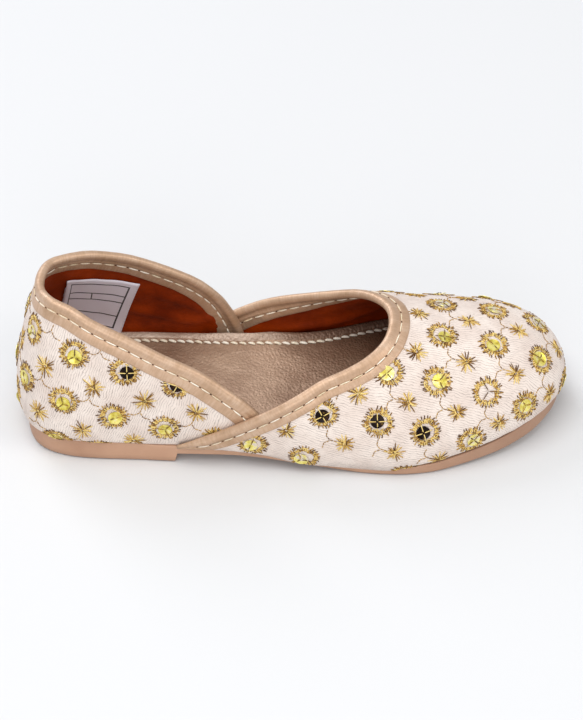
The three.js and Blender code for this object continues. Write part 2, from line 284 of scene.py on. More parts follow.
def addNode(tree, kind, links=None, stops=None, **settings):
    # a node with its settings, its sockets' values or links, and a ramp's stops. A node given as a value is
    # linked from its first output
    node = tree.nodes.new("ShaderNode" + kind)
    for name, value in settings.items():
        setattr(node, name, value)
    for socket, value in (links or {}).items():
        if isinstance(value, bpy.types.Node):
            value = value.outputs[0]
        if isinstance(value, bpy.types.NodeSocket):
            tree.links.new(value, node.inputs[socket])
        else:
            node.inputs[socket].default_value = value
    for k, (place, colour) in enumerate(stops or []):
        ramp = node.color_ramp.elements
        stop = ramp[k] if k < 2 else ramp.new(place)
        stop.position, stop.color = place, colour if isinstance(colour, tuple) else toLinear(colour)
    return node


def waveScale(pitch):
    # the scale of a wave texture whose bands lie pitch apart
    return 2 * math.pi / 20 / pitch


def newMaterial(name):
    material = bpy.data.materials.new(name)
    material.use_nodes = True
    tree = material.node_tree
    tree.nodes.clear()
    return material, tree


def finishMaterial(tree, sockets):
    # the shader, with its sockets set, on the material's surface
    shader = addNode(tree, "BsdfPrincipled", sockets)
    addNode(tree, "OutputMaterial", {"Surface": shader})


def setMaterial(piece, material):
    piece.data.materials.clear()
    piece.data.materials.append(material)


def laidGrid(name, columns, rows, place, flat=None):
    # a grid whose points are laid on the last: place gives each one, and flat its place on the flat material
    bpy.ops.object.select_all(action="DESELECT")
    bpy.ops.mesh.primitive_grid_add(x_subdivisions=columns, y_subdivisions=rows, size=2)
    piece = bpy.context.object
    piece.name = piece.data.name = name
    wide = columns + 1
    points = [place(k % wide, k // wide) for k in range(wide * (rows + 1))]
    for vertex, point in zip(piece.data.vertices, points):
        vertex.co = inFrame(point)
    if flat:
        uvs = piece.data.uv_layers.active.data
        flats = [flat(k % wide, k // wide, points[k]) for k in range(len(points))]
        for loop in piece.data.loops:
            uvs[loop.index].uv = [mm / flatUnit for mm in flats[loop.vertex_index]]
    return piece


def tidyMesh(piece, awayFrom=None, closed=False):
    # merge what coincides and turn the faces outwards, which for an open sheet is away from a given point
    bpy.ops.object.select_all(action="DESELECT")
    piece.select_set(True)
    bpy.context.view_layer.objects.active = piece
    bpy.ops.object.mode_set(mode="EDIT")
    bpy.ops.mesh.select_all(action="SELECT")
    bpy.ops.mesh.remove_doubles(threshold=2e-6)
    bpy.ops.mesh.dissolve_degenerate(threshold=1e-6)
    if closed:
        bpy.ops.mesh.select_all(action="DESELECT")
        bpy.ops.mesh.select_non_manifold(extend=False, use_multi_face=False, use_non_contiguous=False,
                                         use_verts=False)
        bpy.ops.mesh.fill_holes(sides=0)
        bpy.ops.mesh.select_all(action="SELECT")
        bpy.ops.mesh.normals_make_consistent(inside=False)
    bpy.ops.object.mode_set(mode="OBJECT")
    if awayFrom is not None:
        middle = piece.data.polygons[len(piece.data.polygons) // 2]
        if middle.normal.dot(middle.center - awayFrom) < 0:
            piece.data.flip_normals()
    bpy.ops.object.shade_smooth()
    return piece


def wallUp(piece, thickness):
    # give an open sheet its thickness, inwards
    modifier = piece.modifiers.new("thickness", "SOLIDIFY")
    modifier.thickness = thickness / 1000
    modifier.offset = -1
    bpy.context.view_layer.objects.active = piece
    bpy.ops.object.modifier_apply(modifier=modifier.name)


view = {
    "target": (62, 0, 20),        # millimetres in the part's own frame
    "azimuth": -2, "elevation": 40, "distance": 1000, "lens": 154,
    "floorColour": "#dbdcdd", "floorShade": "#dcddde",
    "worldStrength": 0.55, "worldColour": "#f4f6fa",
}


def makeCamera():
    a, e = math.radians(view["azimuth"]), math.radians(view["elevation"])
    back = Vector((math.sin(a) * math.cos(e), -math.cos(a) * math.cos(e), math.sin(e)))
    bpy.ops.object.camera_add(location=(Vector(view["target"]) + back * view["distance"]) / 1000)
    camera = bpy.context.object
    camera.rotation_euler = (-back).to_track_quat("-Z", "Y").to_euler()
    camera.data.lens = view["lens"]
    bpy.context.scene.camera = camera
    bpy.context.scene.view_settings.view_transform = "Standard"


def makeFloor():
    # painted paper sweep: a plain, evenly pale ground
    bpy.ops.mesh.primitive_plane_add(size=8, location=(0, 0, -0.0002))
    floor = bpy.context.object
    floor.name = "floor"
    material, tree = newMaterial("paleSweep")
    grain = addNode(tree, "TexNoise", {"Scale": 3.0, "Detail": 2.0})
    tone = addNode(tree, "ValToRGB", {"Fac": grain.outputs["Fac"]},
                   [(0.3, view["floorColour"]), (0.7, view["floorShade"])])
    finishMaterial(tree, {"Base Color": tone.outputs["Color"], "Roughness": 0.95, "Specular IOR Level": 0.1})
    setMaterial(floor, material)


# soft boxes, aimed at the shoe: place and then width and height in metres, power and colour
softBoxes = [
    ((-0.25, -0.35, 1.5), 1.3, 1.0, 13.4, "#ffffff"),
    ((1.0, -0.5, 0.9), 0.6, 0.6, 4, "#fff8f0"),
    ((-0.1, -1.4, 0.5), 1.2, 0.7, 6.8, "#ffffff"),
    ((-0.6, 0.9, 0.9), 0.6, 1.0, 7, "#fbfbff"),
]


def makeLights():
    aim = Vector(view["target"]) / 1000
    for place, wide, high, power, colour in softBoxes:
        bpy.ops.object.light_add(type="AREA", location=place)
        light = bpy.context.object
        light.data.shape = "RECTANGLE"
        light.data.size, light.data.size_y = wide, high
        light.data.energy = power
        light.data.color = toLinear(colour)[:3]
        light.rotation_euler = (aim - Vector(place)).to_track_quat("-Z", "Y").to_euler()
    world = bpy.data.worlds.new("studio")
    world.use_nodes = True
    bpy.context.scene.world = world
    background = world.node_tree.nodes["Background"]
    background.inputs["Color"].default_value = toLinear(view["worldColour"])
    background.inputs["Strength"].default_value = view["worldStrength"]


makeCamera()
makeFloor()
makeLights()
print("camera, floor and lights made")


cloth = {
    "thread": "#ecdfd5", "shade": "#ddccc1", "line": "#93867f",
    "linePitch": 0.78,      # mm between the fine grey lines of the weave
    "lineStrength": 0.62,
    "ribPitch": 0.42,       # mm between threads, drawn a little coarser than life so that they show
}


def clothMaterial():
    # crinkled cotton crepe, woven: matt, with fine wavy grey lines one way and faint threads across them
    material, tree = newMaterial("cottonCrepe")
    place = addNode(tree, "UVMap", uv_map="UVMap")
    inMm = addNode(tree, "Mapping", {"Vector": place, "Scale": (flatUnit,) * 3})
    wander = addNode(tree, "TexNoise", {"Vector": inMm, "Scale": 0.16, "Detail": 3.0, "Roughness": 0.6})
    shift = addNode(tree, "VectorMath", {0: wander.outputs["Color"], 1: (0.0, 3.2, 0.0)},
                    operation="MULTIPLY")
    wandered = addNode(tree, "VectorMath", {0: inMm, 1: shift}, operation="ADD")
    lines = addNode(tree, "TexWave", {"Vector": wandered, "Scale": waveScale(cloth["linePitch"]),
                                      "Distortion": 1.5, "Detail": 2.0, "Detail Scale": 1.2},
                    wave_type="BANDS", bands_direction="Y")
    thin = addNode(tree, "ValToRGB", {"Fac": lines.outputs["Fac"]},
                   [(0.0, (1, 1, 1, 1)), (0.26, (0, 0, 0, 1))])
    breaks = addNode(tree, "TexNoise", {"Vector": inMm, "Scale": 0.45, "Detail": 2.0})
    held = addNode(tree, "MapRange", {"Value": breaks.outputs["Fac"], "From Min": 0.35, "From Max": 0.62,
                                      "To Min": 0.25, "To Max": 1.0})
    strength = addNode(tree, "Math", {0: thin.outputs["Color"], 1: held}, operation="MULTIPLY")
    faint = addNode(tree, "Math", {0: strength, 1: cloth["lineStrength"]}, operation="MULTIPLY")
    cloudy = addNode(tree, "TexNoise", {"Vector": inMm, "Scale": 0.08, "Detail": 2.0})
    ground = addNode(tree, "ValToRGB", {"Fac": cloudy.outputs["Fac"]},
                     [(0.3, cloth["shade"]), (0.62, cloth["thread"])])
    colour = addNode(tree, "Mix", {0: faint, 6: ground.outputs["Color"],
                                   7: toLinear(cloth["line"])}, data_type="RGBA")
    rib = [addNode(tree, "TexWave", {"Vector": inMm, "Distortion": 0.4,
                                     "Scale": waveScale(cloth["ribPitch"])},
                   wave_type="BANDS", bands_direction=way) for way in ("X", "Y")]
    weave = addNode(tree, "Math", {0: rib[0].outputs["Fac"], 1: rib[1].outputs["Fac"]}, operation="MULTIPLY")
    fibre = addNode(tree, "TexNoise", {"Vector": inMm, "Scale": 3.5, "Detail": 3.0})
    raised = addNode(tree, "Math", {0: weave, 1: fibre.outputs["Fac"]}, operation="ADD")
    height = addNode(tree, "Math", {0: raised, 1: strength}, operation="SUBTRACT")
    bump = addNode(tree, "Bump", {"Height": height, "Strength": 0.55, "Distance": 0.00014})
    finishMaterial(tree, {"Base Color": colour.outputs[2], "Roughness": 0.88, "Specular IOR Level": 0.25,
                          "Sheen Weight": 0.12, "Normal": bump})
    return material


binding = {
    "leather": "#c1a084", "wornAndShade": "#d7bda4", "deep": "#a58463",
    "thread": ("#bfa67f", "#e2d1b0", "#f7efdf"), "hole": "#3b2413", "holeEdge": "#6b482e",
    "grooveDeep": 0.24,     # how far each stitch pulls the leather in
    # how far below the middle of the roll the stitches run, and how far below them the flange reaches
    "seamDeep": {"vamp": {"outer": 2.15, "inner": 3.0}, "quarter": {"outer": 2.8, "inner": 3.0}},
    "flangeLong": {"vamp": {"outer": 2.85, "inner": 3.3}, "quarter": {"outer": 3.9, "inner": 3.7}},
    "throatSeam": 0.5,      # how much deeper the outer stitches run round the throat
    "stitchPitch": 4.3, "stitchLong": 3.4,
    "stitchWide": {"outer": 0.46, "inner": 0.62},
    "rollSteps": 150,
    "hidden": 0.12,         # how far under the wall's face the strip's hidden side lies
}


def bindingMaterial():
    # folded sheep leather with a pearl foil finish: a soft metallic glow, fine grain, creases across the roll
    material, tree = newMaterial("pearlLeather")
    place = addNode(tree, "UVMap", uv_map="UVMap")
    inMm = addNode(tree, "Mapping", {"Vector": place, "Scale": (flatUnit,) * 3})
    across = addNode(tree, "Mapping", {"Vector": inMm, "Scale": (1.3, 0.22, 1)})
    creases = addNode(tree, "TexNoise", {"Vector": across, "Scale": 1.0, "Detail": 4.0, "Roughness": 0.65})
    cloudy = addNode(tree, "TexNoise", {"Vector": inMm, "Scale": 0.12, "Detail": 3.0})
    mixed = addNode(tree, "Math", {0: creases.outputs["Fac"], 1: cloudy.outputs["Fac"]}, operation="ADD")
    half = addNode(tree, "Math", {0: mixed, 1: 0.5}, operation="MULTIPLY")
    tone = addNode(tree, "ValToRGB", {"Fac": half},
                   [(0.24, binding["deep"]), (0.76, binding["wornAndShade"]), (0.5, binding["leather"])])
    grain = addNode(tree, "TexVoronoi", {"Vector": inMm, "Scale": 2.2}, feature="SMOOTH_F1")
    relief = addNode(tree, "Math", {0: creases.outputs["Fac"], 1: grain.outputs["Distance"]},
                     operation="ADD")
    bump = addNode(tree, "Bump", {"Height": relief, "Strength": 0.3, "Distance": 0.00014})
    gloss = addNode(tree, "MapRange", {"Value": grain.outputs["Distance"], "From Min": 0.0,
                                       "From Max": 0.6, "To Min": 0.31, "To Max": 0.44})
    finishMaterial(tree, {"Base Color": tone.outputs["Color"], "Metallic": 0.36, "Roughness": gloss,
                          "Normal": bump})
    return material


upper = {
    "edgeDeep": 2.0,       # how far below the middle of the roll the cloth ends, inside the fold
    "rows": 44, "toeColumns": 64,
    "tuck": 0.3,           # how far the cloth goes down behind the edge of the sole
    "overhang": 1.3,       # and how much further it hangs over the sole beside the ball of the foot
    "rippleDeep": 0.2,     # broad soft unevenness of the cloth over the stiffener
    "gatherDeep": 0.3,     # lasting gathers at the toe, just above the sole
    "puckerDeep": 0.14,    # the pull of each stitch of the binding
}


def edgeColumns(stops, offOf, depth):
    # where each column of the cloth ends, so far below the binding's middle
    columns = []
    for stop in stops:
        at, turn = downWall(stop, offOf, [depth])[0]
        columns.append({"side": stop["side"], "at": at, "turn": turn, "length": stop["length"]})
    return columns


def onCloth(columns):
    # the columns that end above the sole
    return [column for column in columns if column["turn"] > 1]


def vampColumns(depth):
    edge = edgeColumns(vampStops, vampOff, depth)
    half = len(edge) // 2
    first = edge[half]["at"]
    toe = [{"side": 1, "at": first + (1 - first) * k / upper["toeColumns"], "turn": 90, "length": None}
           for k in range(upper["toeColumns"] + 1)]
    back = [{**column, "side": -1} for column in reversed(toe[:-1])]
    return onCloth(edge[:half]) + toe + back + onCloth(edge[half + 1:])


def quarterColumns(depth):
    return onCloth(edgeColumns(quarterStops, quarterOff, depth))


def clothEase(point, foot, column, turn):
    # soft unevenness: broad ripples, gathers round the toe above the sole, and puckers along the binding
    ease = upper["rippleDeep"] * noise.noise(point * 0.055)
    toe = 1 - fade(point.x, 128, 160)
    ease += upper["gatherDeep"] * toe * math.exp(-(point.z - foot) / 5) * noise.noise(point * 0.32)
    if column["length"] is not None:
        pull = math.exp(-(column["turn"] - turn) / 7) * fade(column["turn"], 70, 84)
        wave = math.cos(2 * math.pi * column["length"] / binding["stitchPitch"])
        uneven = 1.5 * noise.noise(Vector((column["length"] * 0.13, 5, 0)))
        ease += upper["puckerDeep"] * pull * (wave + uneven)
    return ease


def wallSheet(name, columns, offOf, proud, easeOf, flat=None):
    # part of the upper's wall, column by column from the sole up, with its rows closer together lower down
    rows = upper["rows"]
    for column in columns:
        column["top"] = onWall(offOf, column["at"], column["side"], column["turn"], proud)

    def place(i, j):
        column = columns[i]
        side, at = column["side"], column["at"]
        turn = column["turn"] * (j / rows) ** 1.5
        point = onWall(offOf, at, side, turn, proud)
        foot = readLast("foot", at)
        ease = easeOf(point, foot, column, turn)
        point = onWall(offOf, at, side, turn, proud + ease)
        if j == 0:
            beside = (1 - fade(point.x, 80, 94)) * fade(point.x, 118, 130)
            point.z -= upper["tuck"] + upper["overhang"] * beside
        return point

    return laidGrid(name, len(columns) - 1, rows, place, flat)


def treeOf(piece):
    # a search tree of a piece's faces, in the tables' millimetres
    points = [Vector((v.co.x * 1000 + shoe["heelMiddle"], v.co.y * 1000, v.co.z * 1000))
              for v in piece.data.vertices]
    return bvhtree.BVHTree.FromPolygons(points, [tuple(p.vertices) for p in piece.data.polygons])


def dropPiece(piece):
    mesh = piece.data
    bpy.data.objects.remove(piece)
    bpy.data.meshes.remove(mesh)


# The flat cloth: where its threads run on each piece of the upper. A chart starts at a point of the last and
# walks over it, u along the row of motifs and v across it, so that the pattern keeps its real spacing
# everywhere. The last row gives how the motifs stray from square, and bare lists the places with none.
charts = {
    "vamp": {"x": 137.9, "side": -1, "turn": 78, "heading": -6, "across": False,
             "pitchU": 17.1, "pitchV": 16.6,
             "bare": [(-1, 0), (-1, 1), (2, -2), (3, -2), (3, -1), (1, -3), (2, -3)],
             "closerBack": 0.92, "sag": 0.1, "lean": 0, "drop": 0, "rise": 0, "hem": 1.6},
    "quarter": {"x": 21.3, "side": -1, "turn": 34, "heading": -20, "across": True,
                "pitchU": 16.9, "pitchV": 17.4,
                "bare": [(3, 0)],
                "closerBack": 1, "sag": 0, "lean": 1.6, "drop": 1, "rise": 0.8, "hem": 0},
}


def walkOn(tree, place, along, distance, stride=0.8):
    # walk straight over a surface; returns where that ends, the heading there and the surface's normal
    place, normal, _, _ = tree.find_nearest(place)
    along = (along - normal * along.dot(normal)).normalized()
    if distance < 0:
        place, along, normal = walkOn(tree, place, -along, -distance, stride)
        return place, -along, normal
    while distance > 1e-6:
        move = min(stride, distance)
        place, normal, _, _ = tree.find_nearest(place + along * move)
        along = (along - normal * along.dot(normal)).normalized()
        distance -= move
    return place, along, normal


def chartPoint(chart, u, v):
    # the surface point at (u, v) of the flat cloth, with the directions of u and v there
    place, along, normal = walkOn(chart["tree"], chart["start"], chart["along"], u)
    place, up, normal = walkOn(chart["tree"], place, normal.cross(along), v)
    return place, up.cross(normal).normalized(), up, normal


def openChart(name, tree):
    chart = charts[name]
    offOf = vampOff if name == "vamp" else quarterOff
    chart["tree"] = tree
    chart["start"] = onWall(offOf, atOf(chart["x"]), chart["side"], chart["turn"])
    chart["start"], normal, _, _ = tree.find_nearest(chart["start"])
    level = Vector((1, 0, 0)) - normal * normal.x
    chart["along"] = Matrix.Rotation(math.radians(chart["heading"]), 3, normal) @ level.normalized()
    return chart


def flatFinder(chart, spanU, spanV, step=4.0):
    # a function from a point of the surface to its place on the flat cloth, in mm
    knots = []
    for i in range(int(spanU[0] / step), int(spanU[1] / step) + 1):
        place, along, normal = walkOn(chart["tree"], chart["start"], chart["along"], i * step)
        for way in (1, -1):
            spot, up = place, normal.cross(along)
            limit = spanV[1] if way > 0 else -spanV[0]
            for j in range(int(limit / step) + 1):
                if j:
                    spot, up, _ = walkOn(chart["tree"], spot, up, way * step)
                _, facing, _, _ = chart["tree"].find_nearest(spot)
                knots.append((spot, i * step, way * j * step, up.cross(facing), up))
    finder = kdtree.KDTree(len(knots))
    for k, knot in enumerate(knots):
        finder.insert(knot[0], k)
    finder.balance()

    def flatOf(point):
        total, u, v = 0, 0, 0
        for _, k, distance in finder.find_n(point, 5):
            spot, knotU, knotV, along, up = knots[k]
            weight = 1 / (distance ** 4 + 0.01)
            total += weight
            u += weight * (knotU + (point - spot).dot(along))
            v += weight * (knotV + (point - spot).dot(up))
        return (v / total, u / total) if chart["across"] else (u / total, v / total)

    return flatOf


def openSurface(offOf, stations, topTurn):
    # the wall's own surface carried past its edges: below the feather line and above the binding
    rows, skirt, skirtStep = 40, 10, 1.2

    def place(i, j):
        side, at = stations[i]
        turn = topTurn * max(0, (j - skirt) / (rows - skirt)) ** 1.5
        point = onWall(offOf, at, side, turn)
        point.z -= max(0, skirt - j) * skirtStep
        return point

    piece = laidGrid("surface", len(stations) - 1, rows, place)
    tree = treeOf(tidyMesh(piece, awayFrom=insideShoe))
    dropPiece(piece)
    return tree


quarterStops = pathOf(quarterTop, -1, binding["rollSteps"], quarterOff, quarterShift)
vampStops = pathOf(vampTop, 1, binding["rollSteps"], vampOff, vampShift)
wingEnd, heelEnd = atOf(52), atOf(92)
toeStations = [(1, wingEnd + (1 - wingEnd) * k / 100) for k in range(101)]
toeStations += [(-1, at) for _, at in reversed(toeStations[:-1])]
heelStations = [(1, heelEnd * (1 - k / 80)) for k in range(81)]
heelStations += [(-1, at) for _, at in reversed(heelStations[:-1])]
vampChart = openChart("vamp", openSurface(vampOff, toeStations, 90))
quarterChart = openChart("quarter", openSurface(quarterOff, heelStations, 62))
vampFlat = flatFinder(vampChart, (-100, 76), (-72, 72))
quarterFlat = flatFinder(quarterChart, (-110, 80), (-60, 30))
print("flat cloth laid on the last")


def makeCloth():
    material = clothMaterial()
    vamp = wallSheet("vampCloth", vampColumns(upper["edgeDeep"]), vampOff, 0, clothEase,
                     lambda i, j, point: vampFlat(point))
    quarter = wallSheet("quarterCloth", quarterColumns(upper["edgeDeep"]), quarterOff, 0, clothEase,
                        lambda i, j, point: quarterFlat(point))
    for piece, node in ((vamp, "upper_vamp"), (quarter, "upper_quarter")):
        tidyMesh(piece, awayFrom=insideShoe)
        wallUp(piece, shoe["clothThick"])
        setMaterial(piece, material)
        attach(piece, "root")
        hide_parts(node)


lining = {
    "leather": "#6e1f00", "bright": "#a63b05",
    "nearBinding": (5.6, 10),       # how far below the wall's top the lining starts and ends to be loose, mm
    # soft folds: side, x, height over the foot, length, slope in degrees, depth
    "folds": [(1, 66, 14, 22, 12, 0.8), (1, 56, 20, 20, -22, 0.7), (1, 45, 15, 26, -14, 0.9),
              (1, 100, 10.5, 26, 14, 1.2), (1, 112, 13, 20, 20, 0.8), (1, 34, 22, 22, 8, 0.6),
              (-1, 60, 14, 20, 10, 0.7), (-1, 40, 16, 18, -6, 0.6), (-1, 108, 11, 20, 16, 0.8)],
}


def liningMaterial():
    # rust pigskin lining: deep red-brown, half matt, with pores and soft clouding
    material, tree = newMaterial("rustLining")
    place = addNode(tree, "TexCoord")
    cloudy = addNode(tree, "TexNoise", {"Vector": place.outputs["Object"], "Scale": 70.0, "Detail": 4.0,
                                        "Roughness": 0.6})
    tone = addNode(tree, "ValToRGB", {"Fac": cloudy.outputs["Fac"]},
                   [(0.3, lining["leather"]), (0.7, lining["bright"])])
    pores = addNode(tree, "TexVoronoi", {"Vector": place.outputs["Object"], "Scale": 1100.0})
    fine = addNode(tree, "TexNoise", {"Vector": place.outputs["Object"], "Scale": 420.0, "Detail": 3.0})
    relief = addNode(tree, "Math", {0: pores.outputs["Distance"], 1: fine.outputs["Fac"]}, operation="ADD")
    bump = addNode(tree, "Bump", {"Height": relief, "Strength": 0.4, "Distance": 0.00012})
    finishMaterial(tree, {"Base Color": tone.outputs["Color"], "Roughness": 0.5, "Specular IOR Level": 0.16,
                          "Normal": bump})
    return material


def liningEase(point, foot, column, turn):
    height = point.z - foot
    loose = 1 - math.exp(-max(0, height - 2) / 5)
    loose *= 1 - fade((point - column["top"]).length, *lining["nearBinding"])
    ease = 0.35 * (noise.noise(point * 0.09) + 0.5 * noise.noise(point * 0.21))
    for side, x, high, length, slope, deep in lining["folds"]:
        if side != column["side"]:
            continue
        tilt = math.radians(slope)
        along = (point.x - x) * math.cos(tilt) + (height - high) * math.sin(tilt)
        across = (height - high) * math.cos(tilt) - (point.x - x) * math.sin(tilt)
        ease -= deep * math.exp(-(along / (length / 2)) ** 2) * math.exp(-(across / 1.7) ** 2)
    return min(0.02, ease - 0.25) * loose


def makeLining():
    material = liningMaterial()
    outer = -shoe["clothThick"] - 0.05
    for name, columns, offOf in (("vampLining", vampColumns(upper["edgeDeep"]), vampOff),
                                 ("quarterLining", quarterColumns(upper["edgeDeep"]), quarterOff)):
        piece = wallSheet(name, columns, offOf, outer, liningEase)
        tidyMesh(piece, awayFrom=insideShoe)
        wallUp(piece, shoe["wall"] + outer)
        setMaterial(piece, material)
        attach(piece, "root")


makeCloth()
makeLining()
print("cloth and lining made")


# The binding's section from the outer flange's edge up to the roll: how far proud of the wall each row of it
# stands. The inner side is the same, turned over.
flangeProud = [0.06, 0.26, 0.34, 0.36, 0.34, 0.28, 0.08, 0.26, 0.34, 0.36]
seamRow, foldRow = 6, 8
rollArc = (-36, 216)       # where the roll runs, in degrees round its middle from straight outwards
rollParts = 16
hiddenRows = ((0, False), (foldRow, False), (foldRow, True), (0, True))


def flangeDepths(part, way, x):
    # how deep below the middle of the roll the rows of the flange lie, from its edge to the roll
    seam = binding["seamDeep"][part][way]
    if way == "outer":
        seam += binding["throatSeam"] * (1 - fade(x, 98, 114))
    long = binding["flangeLong"][part][way]
    first = min(1.6, seam - 0.55)
    past = [seam + more for more in (long, long - 0.12, long - 0.5, (long + 0.6) / 2, 0.6, 0.3, 0)]
    return [*past, seam - 0.3, (seam - 0.3 + first) / 2, first]


def bindingSection(part, stop, offOf, sizeOf):
    side, x = stop["side"], stop["x"]
    size = sizeOf(x)
    # thin where the other wall is close
    proudOut = 1 - 0.6 * quarterTucked(x, side) if part == "quarter" else 1
    proudIn = 1 - 0.8 * vampTucked(x, side) if part == "vamp" else 1
    length = stop["length"]
    wave = 0.5 + 0.5 * math.cos(2 * math.pi * length / binding["stitchPitch"])
    slack = noise.noise(Vector((length * 0.11, 3.1, 0)))
    spots = {}
    for outward, way in ((True, "outer"), (False, "inner")):
        depths = [deep * size for deep in reversed(flangeDepths(part, way, x))]
        spots[outward] = list(reversed(downWall(stop, offOf, depths)))

    def flange(k, outward, back=None):
        at, turn = spots[outward][k]
        proud = flangeProud[k] if back is None else back
        if k == seamRow and back is None:
            proud -= binding["grooveDeep"] * wave
        if 0 < k < seamRow - 1 and back is None:
            proud += 0.12 * wave * (1 - wave) + 0.1 * noise.noise(Vector((length * 0.3, k * 0.4, 7)))
        if outward:
            return onWall(offOf, at, side, turn, proud * proudOut if back is None else proud)
        return onWall(offOf, at, side, turn, -shoe["wall"] - (proud * proudIn if back is None else proud))

    ring = [flange(k, True) for k in range(len(flangeProud))]
    high = shoe["rollHigh"] * size * (1 + 0.035 * slack)
    wide = shoe["rollWide"] * size * (1 + 0.05 * slack + 0.025 * (1 - wave))
    for k in range(rollParts + 1):
        angle = math.radians(rollArc[0] + (rollArc[1] - rollArc[0]) * k / rollParts)
        outwards, upwards = stop["out"] * wide * math.cos(angle), stop["up"] * high * math.sin(angle)
        ring.append(stop["middle"] + outwards + upwards)
    ring += [flange(k, False) for k in reversed(range(len(flangeProud)))]
    ring += [flange(k, outward, -binding["hidden"]) for k, outward in hiddenRows]
    return ring + [ring[0]]


bindingFinish = bindingMaterial()


def makeBinding(part, stops, offOf, sizeOf):
    rings = [bindingSection(part, stop, offOf, sizeOf) for stop in stops]
    middleRing = rings[len(rings) // 2]
    around = [0]
    for a, b in zip(middleRing, middleRing[1:]):
        around.append(around[-1] + (b - a).length)
    piece = laidGrid(part + "Binding", len(stops) - 1, len(middleRing) - 1, lambda i, j: rings[i][j],
                     lambda i, j, point: (stops[i]["length"], around[j]))
    tidyMesh(piece, closed=True)
    setMaterial(piece, bindingFinish)
    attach(piece, "root")
    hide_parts(part + "_binding")
    # the rows that the stitches run along, the inner one counted back from the ring's end
    inner = len(middleRing) - 2 - len(hiddenRows) - seamRow
    rows = {}
    for way, k in (("outer", seamRow), ("inner", inner)):
        rows[way] = []
        for stop, ring in zip(stops, rings):
            before, after = ring[k - 1], ring[k + 1]
            normal = stop["run"].cross(after - before).normalized()
            if (normal.dot(stop["out"]) < 0) == (way == "outer"):
                normal = -normal
            rows[way].append((stop["length"], (before + after) / 2, normal))
    return rows


vampSeams = makeBinding("vamp", vampStops, vampOff, tailSize)
quarterSeams = makeBinding("quarter", quarterStops, quarterOff, fullSize)
print("bindings made")


def threadMaterial(name, colours, metallic, rough):
    # lurex or cotton thread: each stitch its own tone, the ply's twist as fine relief and as painted glints
    material, tree = newMaterial(name)
    tone = addNode(tree, "Attribute", attribute_name="tone")
    place = addNode(tree, "TexCoord")
    glints = addNode(tree, "TexNoise", {"Vector": place.outputs["Object"], "Scale": 2600.0, "Detail": 1.0})
    spread = addNode(tree, "Math", {0: glints.outputs["Fac"], 1: 0.5}, operation="SUBTRACT")
    # painted glints: the twist's noise also lightens and darkens the colour along each stitch
    added = addNode(tree, "Math", {0: tone.outputs["Fac"], 1: spread}, operation="ADD")
    low, middle, high = colours
    colour = addNode(tree, "ValToRGB", {"Fac": added}, [(0.08, low), (0.85, high), (0.42, middle)])
    bump = addNode(tree, "Bump", {"Height": glints.outputs["Fac"], "Strength": 0.5, "Distance": 0.0001})
    finishMaterial(tree, {"Base Color": colour.outputs["Color"], "Metallic": metallic, "Roughness": rough,
                          "Normal": bump})
    return material


def oneStitch(segments, rings):
    # a short raised stitch of unit size along z, plump in the middle, modelled once
    bpy.ops.object.select_all(action="DESELECT")
    bpy.ops.mesh.primitive_uv_sphere_add(segments=segments, ring_count=rings, radius=0.5)
    piece = bpy.context.object
    bpy.ops.object.mode_set(mode="EDIT")
    bpy.ops.mesh.select_all(action="SELECT")
    bpy.ops.transform.resize(value=(1, 1, 1.12))
    bpy.ops.object.mode_set(mode="OBJECT")
    for vertex in piece.data.vertices:      # straighter sides than a ball's
        vertex.co.z = max(-0.5, min(0.5, vertex.co.z))
    return shapeOf(piece)


def tonedPiece(name, points, faces, tones):
    # one piece of many small copies, with the shade of each as a tone on its corners
    mesh = bpy.data.meshes.new(name)
    mesh.from_pydata(points, [], faces)
    mesh.attributes.new("tone", "FLOAT", "POINT").data.foreach_set("value", tones)
    piece = bpy.data.objects.new(name, mesh)
    bpy.context.scene.collection.objects.link(piece)
    return piece


def shapeOf(piece):
    # a small model's corners and faces, for copies, and the model itself taken away
    shape = ([vertex.co.copy() for vertex in piece.data.vertices],
             [tuple(polygon.vertices) for polygon in piece.data.polygons])
    dropPiece(piece)
    return shape


def joinStitches(name, shape, stitches, material):
    # copies of one stitch, each from a to b on its own normal, joined; tone is each one's shade of thread
    points, faces, tones = [], [], []
    unit, unitFaces = shape
    for stitch in stitches:
        a, b, normal = stitch["a"], stitch["b"], stitch["normal"]
        along = b - a
        sideways = along.cross(normal).normalized()
        middle = (a + b) / 2
        start = len(points)
        for corner in unit:
            bow = 1 - 4 * corner.z ** 2
            point = middle + along * corner.z + sideways * corner.x * stitch["wide"]
            point += normal * (corner.y * stitch["high"] + stitch.get("bow", 0) * bow + stitch["lift"])
            points.append(inFrame(point))
        faces += [tuple(start + k for k in face) for face in unitFaces]
        tones += [stitch["tone"]] * len(unit)
    piece = tonedPiece(name, points, faces, tones)
    tidyMesh(piece)
    setMaterial(piece, material)
    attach(piece, "root")


def alongRow(row, length):
    # the place and the normal at a length along a row of (length, place, normal)
    k = min(max(bisect.bisect_left([entry[0] for entry in row], length), 1), len(row) - 1)
    a, b = row[k - 1], row[k]
    t = (length - a[0]) / (b[0] - a[0])
    return a[1].lerp(b[1], t), a[2].lerp(b[2], t).normalized()


